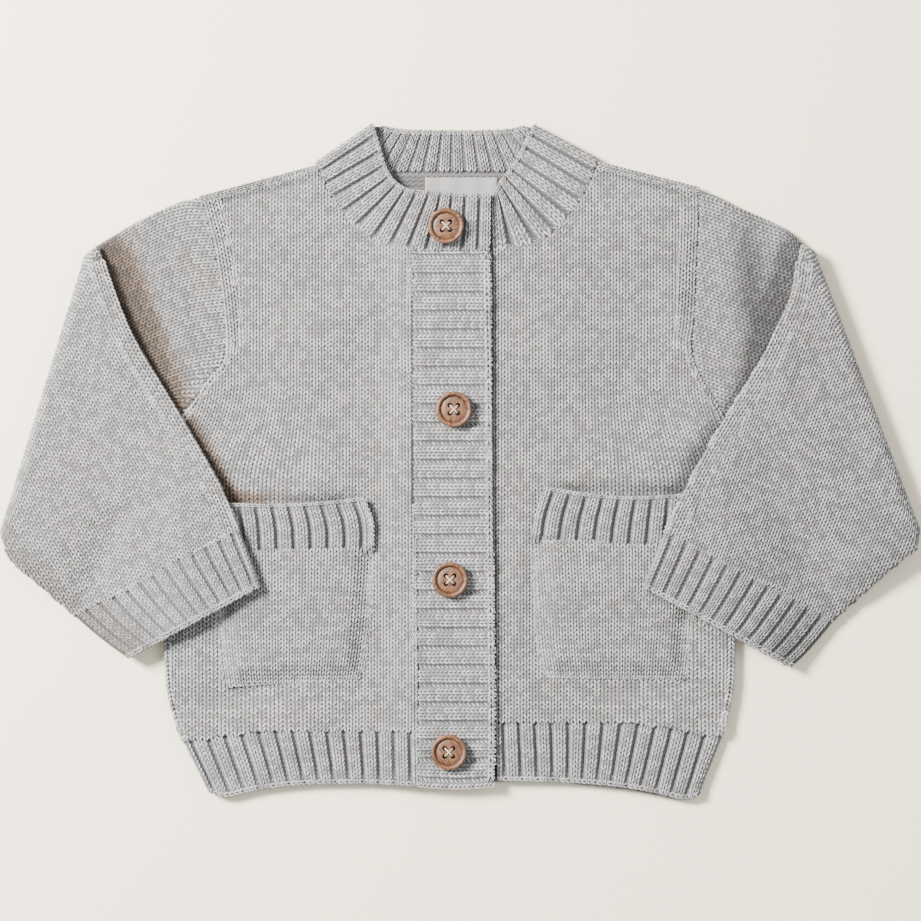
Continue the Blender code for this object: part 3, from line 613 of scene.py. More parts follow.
def make_knitting_tree():
    """Covers a cloth with stitches. They are laid out flat, a unit for each stitch and course, and then
    each of their points is carried to the place on the cloth that has its stitch and course."""
    whole = "NodeSocketInt"
    wires, start, end = group(
        "knitting", "GeometryNodeTree",
        [("Geometry", "NodeSocketGeometry", None), ("Stitch", "NodeSocketObject", None),
         ("First Stitch", whole, 0), ("Stitches", whole, 10), ("First Course", whole, 0), ("Courses", whole, 10),
         ("Stitches in Repeat", whole, 1), ("Stitch Width", FLOAT, 1.0), ("Offset", FLOAT, 0.0),
         ("Lift", FLOAT, 0.5), ("Seed", whole, 1),
         ("Mirrored", "NodeSocketBool", False), ("Yarn", "NodeSocketMaterial", None)],
        [("Geometry", "NodeSocketGeometry")],
    )
    given = start.outputs

    def combine(x, y, z=0.0):
        return wires.node("ShaderNodeCombineXYZ", {"X": x, "Y": y, "Z": z}).outputs[0]

    def kept(name, kind):
        return wires.node("GeometryNodeInputNamedAttribute", {"Name": name}, data_type=kind).outputs["Attribute"]

    def vector(operation, *values, scale=None):
        made = wires.node("ShaderNodeVectorMath", operation=operation)
        for socket, value in zip(made.inputs, values):
            wires.feed(socket, value)
        if scale is not None:
            wires.feed(made.inputs["Scale"], scale)
        return made.outputs[0]

    def store(geometry, name, kind, domain, value):
        made = wires.node(
            "GeometryNodeStoreNamedAttribute", {"Geometry": geometry, "Name": name}, data_type=kind, domain=domain)
        wires.feed(made.inputs["Value"], value)
        return made.outputs[0]

    normal = wires.node("GeometryNodeInputNormal").outputs[0]
    cloth = store(given["Geometry"], "outward", "FLOAT_VECTOR", "POINT", normal)

    def shrunk(spot):
        """The node looks stitches up fast only where they lie between 0 and 1."""
        made = wires.node("ShaderNodeVectorMath", operation="MULTIPLY_ADD")
        for socket, value in zip(made.inputs, (spot, (CHART_SCALE, CHART_SCALE, 0.0), (0.5, 0.5, 0.0))):
            wires.feed(socket, value)
        return made.outputs[0]

    def on_cloth(kind, value, spot):
        made = wires.node("GeometryNodeSampleUVSurface", data_type=kind)
        wires.feed(made.inputs["Mesh"], cloth)
        wires.feed(made.inputs["Value"], value)
        wires.feed(made.inputs["Source UV Map"], shrunk(kept("Stitch", "FLOAT_VECTOR")))
        wires.feed(made.inputs["Sample UV"], shrunk(spot))
        return made.outputs["Value"], made.outputs["Is Valid"]

    index = wires.node("GeometryNodeInputIndex").outputs[0]
    column = wires.math("MODULO", index, given["Stitches"])
    row = wires.math("FLOOR", wires.over(wires.plus(index, 0.01), given["Stitches"]))
    stitch = wires.plus(column, given["First Stitch"])
    repeat = wires.math("FLOOR", wires.over(wires.plus(stitch, 0.01), given["Stitches in Repeat"]))
    within = wires.minus(stitch, wires.times(repeat, given["Stitches in Repeat"]))
    middle = wires.times(wires.plus(within, 0.5), given["Stitch Width"])
    across = wires.plus(wires.plus(repeat, given["Offset"]), middle)
    along = wires.plus(row, given["First Course"])
    count = wires.times(given["Stitches"], given["Courses"])
    points = wires.node("GeometryNodePoints", {"Count": count, "Position": combine(across, along)}).outputs[0]
    points = store(points, "cell", "FLOAT_VECTOR", "POINT", combine(
        wires.over(column, given["Stitches"]), wires.over(row, given["Courses"])))
    chance = wires.node("FunctionNodeRandomValue", {"Seed": given["Seed"]}, data_type="FLOAT")
    points = store(points, "pick", "FLOAT", "POINT", chance.outputs[1])
    place = wires.node("GeometryNodeInputPosition").outputs[0]
    hidden, there = on_cloth("FLOAT", kept("bare", "FLOAT"), vector("ADD", place, (0.0, 0.5, 0.0)))
    gone = wires.math("GREATER_THAN", wires.minus(hidden, wires.times(there, 0.5)), 0.0)
    gone = wires.math("MAXIMUM", gone, wires.minus(1.0, there))
    points = wires.node(
        "GeometryNodeDeleteGeometry", {"Geometry": points, "Selection": gone}, domain="POINT").outputs[0]
    loop = wires.node("GeometryNodeObjectInfo", {"Object": given["Stitch"]}).outputs["Geometry"]
    laid = wires.node("GeometryNodeInstanceOnPoints", {
        "Points": points, "Instance": loop, "Scale": combine(given["Stitch Width"], 1.0, 1.0)}).outputs[0]
    laid = wires.node("GeometryNodeRealizeInstances", {"Geometry": laid}).outputs[0]
    spot = vector("MULTIPLY", kept("spot", "FLOAT_VECTOR"), combine(
        wires.over(1.0, given["Stitches"]), wires.over(1.0, given["Courses"])))
    laid = store(laid, "OFBake", "FLOAT2", "CORNER", vector("ADD", kept("cell", "FLOAT_VECTOR"), spot))
    wander = wires.node("ShaderNodeTexNoise", {
        "Vector": vector("MULTIPLY", place, (0.5, 0.4, 0.0)), "Scale": 1.0, "Detail": 2.0}).outputs["Color"]
    wander = vector("MULTIPLY", vector("SUBTRACT", wander, (0.5, 0.5, 0.5)), (0.16, 0.16, 0.2))
    slip = wires.times(wires.minus(kept("pick", "FLOAT"), 0.5), 0.12)
    moved = vector("ADD", place, vector("MULTIPLY", vector("ADD", wander, combine(0.0, slip, slip)), combine(
        given["Stitch Width"], 1.0, 1.0)))
    height = wires.node("ShaderNodeSeparateXYZ", {"Vector": moved}).outputs["Z"]
    surface, there = on_cloth("FLOAT_VECTOR", place, moved)
    outward, _ = on_cloth("FLOAT_VECTOR", kept("outward", "FLOAT_VECTOR"), moved)
    # The stitches take the painted shade of the cloth under them.
    shaded, _ = on_cloth("FLOAT", kept("shade", "FLOAT"), moved)
    laid = store(laid, "shade", "FLOAT", "POINT", shaded)
    laid = wires.node("GeometryNodeDeleteGeometry", {
        "Geometry": laid, "Selection": wires.minus(1.0, there)}, domain="POINT").outputs[0]
    raised = vector("SCALE", vector("NORMALIZE", outward), scale=wires.times(wires.plus(height, given["Lift"]), MM))
    laid = wires.node("GeometryNodeSetPosition", {
        "Geometry": laid, "Position": vector("ADD", surface, raised)}).outputs[0]
    laid = wires.node("GeometryNodeFlipFaces", {"Mesh": laid, "Selection": given["Mirrored"]}).outputs[0]
    laid = wires.node("GeometryNodeSetShadeSmooth", {"Geometry": laid}).outputs[0]
    laid = wires.node("GeometryNodeRealizeInstances", {"Geometry": laid}).outputs[0]
    laid = wires.node("GeometryNodeSetMaterial", {"Geometry": laid, "Material": given["Yarn"]}).outputs[0]
    wires.feed(end.inputs["Geometry"], laid)
    return wires.tree


KNITTING = make_knitting_tree()


def add_tree(made, tree, **inputs):
    """Puts a Geometry Nodes tree on an object, with its named inputs."""
    worked = made.modifiers.new(tree.name, "NODES")
    worked.node_group = tree
    for item in tree.interface.items_tree:
        if item.item_type == "SOCKET" and item.in_out == "INPUT" and item.name in inputs:
            worked[item.identifier] = inputs[item.name]
    return worked


def settle_mesh(made):
    """Turns an object with its modifiers into a plain mesh object of the same name."""
    bpy.context.view_layer.update()
    graph = bpy.context.evaluated_depsgraph_get()
    mesh = bpy.data.meshes.new_from_object(made.evaluated_get(graph), preserve_all_data_layers=True, depsgraph=graph)
    old = made.data
    made.modifiers.clear()
    made.data = mesh
    bpy.data.meshes.remove(old)
    mesh.name = made.name
    return made


def add_bake_map(made):
    """A second map with no overlaps: the outer side of the cloth on the left half, the inner on the right."""
    mesh = made.data
    stitch = np.zeros(len(mesh.loops) * 2, np.float32)
    mesh.uv_layers["Stitch"].uv.foreach_get("vector", stitch)
    stitch = stitch.reshape(-1, 2)
    inner = np.zeros(len(mesh.polygons), np.int32)
    mesh.polygons.foreach_get("material_index", inner)
    sizes = np.zeros(len(mesh.polygons), np.int32)
    mesh.polygons.foreach_get("loop_total", sizes)
    side = np.repeat(inner, sizes)
    low, high = stitch.min(0), stitch.max(0)
    flat = (stitch - low) / np.maximum(high - low, 1e-6)
    flat[:, 0] = 0.004 + flat[:, 0] * 0.488 + 0.5 * (side > 0)
    flat[:, 1] = 0.004 + flat[:, 1] * 0.99
    mesh.uv_layers.new(name="OFBake").uv.foreach_set("vector", flat.astype(np.float32).ravel())


def signed_chart(mesh):
    """1 if the stitch map runs the same way round as the faces, else -1."""
    turned = 0.0
    chart = mesh.uv_layers["Stitch"].uv
    for face in mesh.polygons:
        a, b, c = (chart[k].vector for k in face.loop_indices[:3])
        turned += (b - a).cross(c - a)
    return 1 if turned > 0 else -1


def purls_over(made, depth, lift=PURL_LIFT):
    """Fills the grooves of a ribbed grid with purl bumps, as a separate piece."""
    mesh = GROUND_OF_STITCHES[made.name].copy()
    return stitch_over(made, True, lift, depth, mesh=mesh, purl=True)


def stitch_over(made, ribbed=False, lift=STRAND_LIFT, depth=0.0, span=None, mesh=None, purl=False, loop=LOOP):
    """Knits real stitches over the outer side of an open grid, as a separate piece."""
    mesh = mesh or GROUND_OF_STITCHES.pop(made.name)
    if made.data.polygons[0].normal.dot(mesh.polygons[0].normal) < 0:
        mesh.flip_normals()
    laid = add_object(made.name + ("_purls" if purl else "_stitches"), mesh)
    if depth:
        add_tree(laid, RIBBING, **{"Groove Depth": depth, "Yarn": STRAND})
        settle_mesh(laid)
        mesh = laid.data
    chart = np.zeros(len(mesh.loops) * 2, np.float32)
    mesh.uv_layers["Stitch"].uv.foreach_get("vector", chart)
    low, high = chart.reshape(-1, 2).min(0), chart.reshape(-1, 2).max(0)
    each = 2 if ribbed and not purl else 1
    first, last = span or (math.floor(low[0]) * each, math.ceil(high[0]) * each)
    bottom, top = math.floor(low[1]) - 1, math.ceil(high[1])
    add_tree(laid, KNITTING, **{
        "Stitch": PURL_BUMP if purl else loop, "First Stitch": first, "Stitches": last - first,
        "First Course": bottom, "Courses": top - bottom,
        "Stitches in Repeat": each, "Stitch Width": RIB_WALE if ribbed else 1.0,
        "Offset": RIB_GROOVE - RIB_WALE / 2 if purl else 0.0,
        "Lift": lift, "Mirrored": signed_chart(mesh) < 0, "Yarn": SHADED_STRAND_PURL if purl and lift < 0.3 else STRAND,
    })
    settle_mesh(laid)
    for spare in ("cell", "outward", "across", "along", "relief", "bare"):
        if spare in laid.data.attributes:
            laid.data.attributes.remove(laid.data.attributes[spare])
    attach(laid, "root")
    return laid


def knit_up(made, outer, inner, thickness=CLOTH, depth=0.0, stitches=None, purl_lift=PURL_LIFT, loop=LOOP):
    """Gives an open grid its ribs, its stitches, its wall and its two sides. Returns the pieces made on it."""
    pieces = []
    made.data.materials.append(outer)
    if depth:
        add_tree(made, RIBBING, **{"Groove Depth": depth, "Yarn": outer})
        settle_mesh(made)
    if stitches == "rib":
        pieces.append(purls_over(made, depth, purl_lift))
    if stitches:
        pieces.append(stitch_over(made, ribbed=stitches == "rib", depth=depth, loop=loop))
    wall = made.modifiers.new("wall", "SOLIDIFY")
    wall.thickness = thickness * MM
    wall.offset = 0.0
    wall.material_offset = 1
    wall.material_offset_rim = 1
    settle_mesh(made)
    mesh = made.data
    mesh.materials.clear()
    mesh.materials.append(outer)
    mesh.materials.append(inner)
    mesh.shade_smooth()
    add_bake_map(made)
    return pieces


def declare(made, nodes):
    """Attaches one sheet of cloth to the root body and hides the frame's parts that it stands for."""
    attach(made, "root")
    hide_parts(*nodes)


def body_edge(side, inset=0.0):
    """Outer outline of the body from the shoulder to the top of the hem."""
    edge = ARMHOLE[side] + SIDE[side] + [HEM[side][0][:2]]
    return [(x - OUTWARD[side] * inset, y) for x, y in edge]


def hem_top(x):
    """Height of the top of the back's hem at x."""
    return y_at(sorted(HEM["left"][:-1] + HEM["right"][:-1]), x)


BACK_ROWS, BACK_COLUMNS = 74, 66
BACK_CREASES = [  # shallow, as the back is pressed flat by what lies on it
    (-95, -62, 40, -74, 0.22, 6), (-70, 44, 88, 30, 0.2, 7), (-20, 96, 30, 20, 0.18, 5), (60, -20, 96, -88, 0.2, 6),
]


def make_back():
    """The back panel: rows from side to side, its top row shaped as the shoulders and the neck."""
    steps = np.linspace(0, len(body_edge("left")) - 1, BACK_ROWS)
    left = through(body_edge("left", 0.4), steps)
    right = through(body_edge("right", 0.4), steps)
    shares = np.linspace(0, 1, BACK_COLUMNS)[None, :, None]
    plan = mix(left[:, None], right[:, None], shares)
    edge = [tuple(left[0]), *CROWN, tuple(right[0])]
    shaped = y_at(edge, plan[0, :, 0]) - plan[0, :, 1]
    keep = 1 - soft(np.arange(len(steps)) / 30)
    plan[:, :, 1] += keep[:, None] * shaped[None]
    plan[-1, :, 1] = hem_top(plan[-1, :, 0])
    x, y = plan[..., 0], plan[..., 1]
    points = np.dstack([x, y, BACK_Z + creases(x, y, BACK_CREASES)])
    made = lay_grid("back_panel_knit", points, (x / WALE, y / COURSE))
    made.data.flip_normals()
    pieces = knit_up(made, SHADED_UNDER, REVERSE, WALL_UNDER_STITCHES, stitches="plain", loop=SHORT_LOOP)
    declare(made, ["back_panel"])


make_back()

# ------------------------------------------------------------------ the hem ribs
# Back and fronts each start at the bottom with a deep rib of two raised stitches and a purl groove.
# The ribs lean with the cloth, and their grooves fade out into a plain rolled edge.

HEM_RIB = 6.7  # one rib and its groove
HEM_DEEP = 24
RIB_COLUMNS = (0.0, 0.17, 0.34, 0.51, 0.66, 0.75, 0.84, 0.93)
RIB_WALL = 0.7
GROOVE = 1.05
BACK_HEM_PEEP = 0.9
ROLLED_EDGE = {"course": 2.2, "wide": 2.2, "crown": 0.35, "lift": 0.3, "shade": 0.1}  # for edge_row; its shade is painted shade
BAND = [  # the bands at the centre front: y, left edge x, right edge x
    (87.7, -20.6, 11.6), (40.0, -20.3, 12.6), (-10.0, -20.0, 13.0), (-60.0, -19.4, 13.4),
    (-110.0, -18.6, 13.9), (-135.6, -18.2, 13.4),
]
RISE_WIDTH = 15.0
RIBBED = yarn_look("heather_rib", "plain", ribbed=True)
# A dark wall under the ribs' stitches: painted shade that shows in the grooves.
SHADED_RIB_UNDER = yarn_look(
    "heather_under_ribs", "plain", ribbed=True, light=(0.13, 0.127, 0.129, 1), hollow_painted_shade=(0.05, 0.048, 0.049, 1),
)


def band_edges(y):
    """Left and right edge of the upper band at these heights."""
    rows = BAND[::-1]
    return tuple(np.interp(y, [r[0] for r in rows], [r[i] for r in rows]) for i in (1, 2))


def left_rise(x, y):
    """The left front climbs on to the button band near its inner edge."""
    return LAYER * (1 - soft((band_edges(y)[0] - x - 1.0) / RISE_WIDTH))


def rib_places(length, period, phase=0.0):
    """Where the columns of a ribbed grid go along a length, and the rib that each is in."""
    count = int(math.ceil(length / period)) + 2
    ribs = np.array([i + f for i in range(-1, count) for f in RIB_COLUMNS])
    places = (ribs - phase) * period
    inside = (places > 0.12 * period) & (places < length - 0.12 * period)
    places = np.concatenate([[0.0], places[inside], [length]])
    return places / length, places / period + phase


def distances(line):
    """How far along a line each of its points is."""
    return np.concatenate([[0.0], np.cumsum(np.linalg.norm(np.diff(line, axis=0), axis=1))])


def row_at(table, shares):
    """Rows of a table of places, read at shares of the length of its middle line."""
    table = np.asarray(table, float)
    fine = through(table, np.linspace(0, len(table) - 1, 20 * len(table)))
    width = table.shape[1] // 2
    middle = (fine[:, :width] + fine[:, width:]) / 2
    run = distances(middle)
    at = np.asarray(shares) * run[-1]
    return np.stack([np.interp(at, run, fine[:, k]) for k in range(table.shape[1])], 1), run[-1]


def edge_row(name, path, course=2.4, wide=2.6, crown=0.5, lift=0.2, stitches=1, slot="grey_rib", shade=0.0):
    """A row of stitches along a path, or a few side by side, as seams and cast-off edges show. shade darkens it as
    painted shade.
    """
    path = np.asarray(path, float)
    run = distances(path)
    count = max(4, int(run[-1] / 2.0))
    at = np.linspace(0, run[-1], count)
    line = np.stack([np.interp(at, run, path[:, k]) for k in range(3)], 1)
    ahead = np.gradient(line, axis=0)
    ahead /= np.linalg.norm(ahead, axis=1)[:, None]
    sideways = np.column_stack([ahead[:, 1], -ahead[:, 0], np.zeros(count)])
    places = np.linspace(-0.5, 0.5, 4 * stitches + 1)
    points = np.stack([line + sideways * p * wide + np.array((0, 0, crown * (1 - 4 * p * p))) for p in places], 1)
    across = (places[None] + 0.5) * stitches
    made = lay_grid(name, points[:, ::-1], (across[:, ::-1], (at / course)[:, None]), shade=shade)
    if made.data.polygons[0].normal.z < 0:
        made.data.flip_normals()
    row = stitch_over(made, lift=lift, span=(0, stitches))
    bpy.data.objects.remove(made)
    row.name = name
    return row


def make_hem(side):
    """One hem rib, its columns along the ribs and its rows from the top to the edge."""
    if side == "back":
        table = HEM["left"][:-1] + HEM["right"][-2::-1]
    elif side == "left":
        table = HEM["left"]
    else:
        table = HEM["right"][::-1]
    _, length = row_at(table, [0.0])
    shares, ribs = rib_places(length, HEM_RIB, 0.35)
    row, _ = row_at(table, shares)
    down = np.array([-0.08, 0.0, 0.1, 0.22, 0.36, 0.5, 0.64, 0.78, 0.88, 0.95, 1.0])[:, None]
    x, y = mix(row[:, 0], row[:, 2], down), mix(row[:, 1], row[:, 3], down)
    z = np.full_like(x, BACK_Z if side == "back" else FRONT_Z)
    if side == "left":
        z = z + left_rise(x, y)
    if side == "back":
        y = y - BACK_HEM_PEEP * down * soft((x - 30) / 25) * soft((98 - x) / 12)
    else:
        z = z + waves(x, y, seed=3, size=40, height=0.3) * soft(down / 0.3) - 0.55 * (down < 0.05)
    relief = np.broadcast_to(soft((down + 0.09) / 0.1) * (1 - 0.8 * soft((down - 0.72) / 0.28)), x.shape)
    # painted shade along the lower edge, where the hem rolls under
    shade = np.broadcast_to(0.10 * soft((down - 0.9) / 0.1), x.shape)
    name = "back_hem_rib" if side == "back" else "front_hem_rib_" + side
    made = lay_grid(name, np.dstack([x, y, z]), (ribs[None], -down * HEM_DEEP / COURSE), relief, shade)
    if side == "back":
        made.data.flip_normals()
    pieces = knit_up(made, SHADED_RIB_UNDER, RIBBED, RIB_WALL, GROOVE if side != "back" else 0.7, stitches="rib")
    rolled = np.column_stack([x[-1], y[-1] + 0.9, z[-1] + 0.1])
    pieces.append(edge_row("rolled_edge_" + side, rolled, **ROLLED_EDGE))
    node = "back_hem" if side == "back" else "front_hem_" + side
    declare(made, [node])


for side in ("back", "left", "right"):
    make_hem(side)

# ------------------------------------------------------------------ the fronts
# Two plain knitted fronts lie on the back. Their stitch columns run straight up, fan out below
# the armholes, and the last few lie along the armhole seams. The left one laps over the right.

NECK = {  # from the neck fold down to the bands: seam x, y, free edge x, y
    "left": [
        (-60.4, 123.9, -36.4, 140.2), (-56.4, 113.6, -32.6, 126.5), (-51.2, 105.5, -30.1, 120.4),
        (-44.2, 98.7, -26.7, 116.4), (-34.4, 91.9, -21.6, 113.8), (-20.9, 88.0, -12.0, 112.8),
    ],
    "right": [
        (57.0, 125.4, 29.6, 139.8), (54.0, 117.0, 26.4, 133.8), (49.6, 109.0, 22.5, 126.4),
        (42.6, 100.3, 19.0, 121.2), (32.4, 92.0, 15.6, 117.0), (13.0, 88.2, 12.6, 111.8),
    ],
}
FRONT_ROWS, FRONT_COLUMNS = 84, 40
FAN_TOP = 34.0
FAN_FOOT = -12.0
FAN_REACH = 13.0
ALONG_SEAM = 7.8  # three stitches follow the armhole, and the upright ones end beside them
SHOULDER_SEAM = 3.4  # how far below its top edge the front is joined to the back
EDGE_ROW = 3.2  # the stitches that turn over at a fold
FRONT_CREASES = {
    "left": [
        (-124, 2, -96, -13, -0.7, 5), (-116, -94, -64, -102, -0.6, 4), (-62, 58, -28, 66, 0.5, 6),
        (-30, -12, -34, -70, 0.4, 5), (-98, 30, -72, 22, -0.4, 5),
    ],
    "right": [
        (110, 4, 82, -9, -0.7, 5), (46, -97, 104, -93, -0.6, 4), (26, 46, 66, 40, 0.5, 7),
        (22, -18, 24, -84, 0.5, 5), (78, 30, 94, 12, -0.4, 5),
    ],
}
SHADOW_DEPTH = {"left": 0.54, "right": 0.66}
CAP_SHADOW = {"left": 3.0, "right": 0.0}  # how much wider the shadow on the sleeve is
SLEEVE_SHADOW = {  # inner edge of the folded sleeve, which shades the front: x, y
    "left": [
        (-127, 35.6), (-119.6, 23.6), (-112.4, 11.6), (-105.4, -0.2), (-98.6, -12.4), (-92.2, -27.7), (-83, -51.7),
    ],
    "right": [(119.6, 34), (112.2, 22.6), (105, 11), (97.8, -1.8), (90.8, -15), (84.2, -29), (75, -52)],
}
MOUTH_DUSK = 0.66  # the front is in shade just above a pocket's mouth
POCKET_TOP = {"left": (-103.0, -41.0, -15.8), "right": (35.2, 98.0, -11.6)}  # x from, x to, y of the mouths
POCKET_AREA = {"left": (-97, -45, -87, -22), "right": (39, 91, -84, -18)}  # x from, x to, y from, y to


def x_at(line, y):
    """Where a line that runs downwards is at these heights."""
    return np.interp(-y, [-row[1] for row in line], [row[0] for row in line])


def lifted(line, z):
    """A flat line lifted to a height."""
    return np.column_stack([line, np.broadcast_to(z, len(line))])


def front_edges(side):
    """Outer and inner edge of a front, a pair of points for each row."""
    outer = body_edge(side)
    underarm = len(ARMHOLE[side]) - 1
    inner = [row[:2] for row in NECK[side][:-1]]
    neck_rows = len(inner)
    foot = NECK[side][-1][1]
    for k in range(neck_rows, len(outer) - 1):
        y = outer[k][1]
        if k < underarm:
            y = mix(foot, outer[underarm][1], (k - neck_rows) / (underarm - neck_rows))
        left, right = band_edges(y)
        inner.append((float(left if side == "left" else right) - 0.1, float(y)))
    inner.append(HEM[side][-1][:2])
    return outer, inner


def stitch_of_front(side, x, y):
    """The stitch and course at each place of a front."""
    sign = OUTWARD[side]
    fanned = FAN_REACH * soft((FAN_TOP - y) / (FAN_TOP - FAN_FOOT)) * soft((sign * x - 45) / 75)
    return (x - sign * fanned) / WALE, y / COURSE


def under_pocket(side, x, y):
    """1 where the pocket hides the front."""
    low_x, high_x, low_y, high_y = POCKET_AREA[side]
    return ((x > low_x) & (x < high_x) & (y > low_y) & (y < high_y)).astype(float)


def hidden_front(side, x, y, from_top, from_sleeve):
    """How far the front has no stitches of its own: under other pieces, and where its edges have their own rows."""
    upper, low = ARMHOLE[side][:7], ARMHOLE[side][6:]
    from_seam = np.abs(x - x_at(upper, y))
    from_side = np.abs(x - x_at(SIDE[side], y))
    beside_seam = np.clip((ALONG_SEAM - 1.6 - from_seam) / 5 + 0.5, 0, 1) * (y > low[0][1])
    low_seam = (np.abs(x - x_at(low, y)) < 1.4) & (y < low[0][1]) & (y > low[-1][1])
    top_edge = np.clip((EDGE_ROW / 2 - from_top) / 4 + 0.5, 0, 1)
    side_edge = np.clip((EDGE_ROW / 2 - from_side) / 4 + 0.5, 0, 1) * (y < SIDE[side][0][1])
    under_sleeve = (from_sleeve < -8) & (y < 16) & (y > -46)
    return np.maximum.reduce([
        under_pocket(side, x, y), beside_seam, top_edge, side_edge, low_seam, under_sleeve,
    ])


def front_dusk(side, x, y, from_sleeve):
    """The shade on a front above its pocket's mouth, beside the sleeve and, on the right one, beside the band."""
    mouth_left, mouth_right, mouth_y = POCKET_TOP[side]
    over_mouth = y - mouth_y + 2.5 * np.sin(math.pi * np.clip((x - mouth_left) / (mouth_right - mouth_left), 0, 1))
    dusk = MOUTH_DUSK * np.exp(-((over_mouth - 1.5) / 1.9) ** 2)
    dusk = dusk * soft((x - mouth_left) / 10) * soft((mouth_right - x) / 10)
    dusk = dusk + SHADOW_DEPTH[side] * np.exp(-(np.maximum(from_sleeve, 0) / 5.5) ** 4) * soft((y + 50) / 12)
    if side == "right":
        dusk = dusk + 0.4 * np.exp(-((x - band_edges(y)[1] - 0.8) / 1.3) ** 2) * (y < 87)
    return dusk


def front_edge_rows(side):
    """The rows of stitches that follow a front's armhole, turn over at its side, and close its shoulder."""
    sign = OUTWARD[side]
    seam = through(ARMHOLE[side][:8], np.linspace(6.35, 0.1, 44))
    seam[:, 0] -= sign * (ALONG_SEAM / 2 + 0.3)
    low = through(ARMHOLE[side], np.linspace(len(ARMHOLE[side]) - 1, 5.6, 40))
    low[:, 0] -= sign * 1.5
    shoulder = np.linspace(NECK[side][0][:2], ARMHOLE[side][0], 16) - (0, EDGE_ROW / 2 - 0.3)
    fold = through([ARMHOLE[side][-1], *SIDE[side], HEM[side][0][:2]], np.linspace(0, 7, 50))
    fold[:, 0] -= sign * (EDGE_ROW / 2 - 0.4)
    rows = [  # name, line, height, one stitch's length, width, crown, lift, stitches side by side
        ("armhole_edge_", seam, FRONT_Z + 0.15, COURSE, ALONG_SEAM, 0.15, STRAND_LIFT, 3),
        ("armhole_turn_", low, FRONT_Z + 0.05, COURSE, EDGE_ROW, 0.4, 0.45, 1),
        ("shoulder_edge_", shoulder, FRONT_Z - 0.35, 1.7, EDGE_ROW, 0.7, 0.3, 2),
        ("side_edge_", fold, FRONT_Z - 0.35, COURSE, EDGE_ROW, 0.7, 0.35, 1),
    ]
    return [edge_row(name + side, lifted(line, z), *shape, "grey_knit") for name, line, z, *shape in rows]


def make_front(side):
    """One front as rows from its outer to its inner edge."""
    outer, inner = front_edges(side)
    steps = np.linspace(0, len(outer) - 1, FRONT_ROWS)
    a, b = through(outer, steps), through(inner, steps)
    shares = np.linspace(0, 1, FRONT_COLUMNS)[None, :, None]
    plan = mix(a[:, None], b[:, None], shares)
    x, y = plan[..., 0], plan[..., 1]
    last = y_at(sorted(HEM[side]), x[-1])
    fit = soft((np.arange(len(steps)) - len(steps) + 9) / 8)[:, None]
    y = y + fit * (last - y[-1])[None]
    z = FRONT_Z + waves(x, y, seed=5 if side == "left" else 6, size=55, height=0.35) * soft((y + 112) / 10)
    z = z + creases(x, y, FRONT_CREASES[side])
    if side == "left":
        z = z + left_rise(x, y)
    across, along = stitch_of_front(side, x, y)
    from_top = y[:1] - y
    # The shoulder seam is a real crease, and painted shade darkens it too.
    crease = np.exp(-((from_top - SHOULDER_SEAM - 0.6) / 0.9) ** 2)
    z = z - 0.45 * crease - 0.5 * (1 - soft(from_top / 2.5))
    from_sleeve = -OUTWARD[side] * (x - x_at(SLEEVE_SHADOW[side], y))
    bare = hidden_front(side, x, y, from_top, from_sleeve)
    # painted shade: along the crease, above the pocket's mouth, beside the folded sleeve and, on the right front,
    # beside the band
    shade = np.clip(0.4 * crease + front_dusk(side, x, y, from_sleeve), 0, 0.7)
    layers = [x, y, z, across, along, bare, shade]
    if side == "right":
        layers = [layer[:, ::-1] for layer in layers]
    x, y, z, across, along, bare, shade = layers
    made = lay_grid("front_knit_" + side, np.dstack([x, y, z]), (across, along), shade=shade, bare=bare)
    pieces = knit_up(made, SHADED_UNDER, REVERSE, WALL_UNDER_STITCHES, stitches="plain")
    pieces += front_edge_rows(side)
    declare(
        made, ["front_" + side],
    )


for side in ("left", "right"):
    make_front(side)

# ------------------------------------------------------------------ the button bands
# Two ribbed strips are knitted on to the front edges, so their ribs run across them.
# The buttonhole band, from the left front, lies on the button band of the right front.

BAND_RIB = 7.8  # one rib and its groove
BAND_Z = FRONT_Z + LAYER
BAND_INSET = 0.9
BAND_DIP = 1.0
SLIT_HALF = 11.5  # painted shade in a line on both sides of a button, where its buttonhole is
SLIT_PAINTED_SHADE = 0.5


def make_band(name, node, inset, height, on_top):
    """One band, its rows at the ribs and its columns from edge to edge."""
    top, bottom = BAND[0][0], BAND[-1][0]
    length = top - bottom
    shares, ribs = rib_places(length, BAND_RIB, 0.55)
    y = (top - shares * length)[:, None]
    left, right = band_edges(y)
    across = np.linspace(0, 1, 13)[None]
    x = mix(left + inset, right - inset, across)
    y = y - BAND_DIP * np.sin(math.pi * across) * soft((shares[:, None] - 0.94) / 0.06)
    z = height + waves(x, y, seed=9, size=50, height=0.3)
    edge = np.minimum(across, 1 - across) * (right - left)
    relief = soft((edge - 1.0) / 3.0) * (1 - 0.8 * soft((shares[:, None] - 0.985) / 0.012))
    shade = np.zeros(relief.shape)
    if on_top:
        # painted shade where the buttonholes are
        for node_name in ("button_2", "button_4"):
            low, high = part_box(node_name)
            slit_x, slit_y = (low.x + high.x) / 2 / MM - SHIFT[0], (low.y + high.y) / 2 / MM - SHIFT[1]
            shade = shade + SLIT_PAINTED_SHADE * np.exp(-((y - slit_y) / 0.9) ** 2) * (np.abs(x - slit_x) < SLIT_HALF)
    made = lay_grid(name, np.dstack([x, y, z]), (ribs[:, None], x / COURSE), relief, shade)
    if on_top:
        pieces = knit_up(made, SHADED_RIB_UNDER, RIBBED, RIB_WALL, GROOVE, stitches="rib", purl_lift=0.42)
    else:
        pieces = knit_up(made, RIBBED, RIBBED, RIB_WALL, GROOVE)
    declare(
        made, [node],
    )


make_band("button_band_rib", "button_band", BAND_INSET, FRONT_Z, False)
make_band("buttonhole_band_rib", "buttonhole_band", 0.0, BAND_Z, True)

# ------------------------------------------------------------------ the neckband
# One ribbed strip is picked up round the neck and lapped at the front. Lying flat, it turns over
# at both sides of the neck, so its inside shows behind.

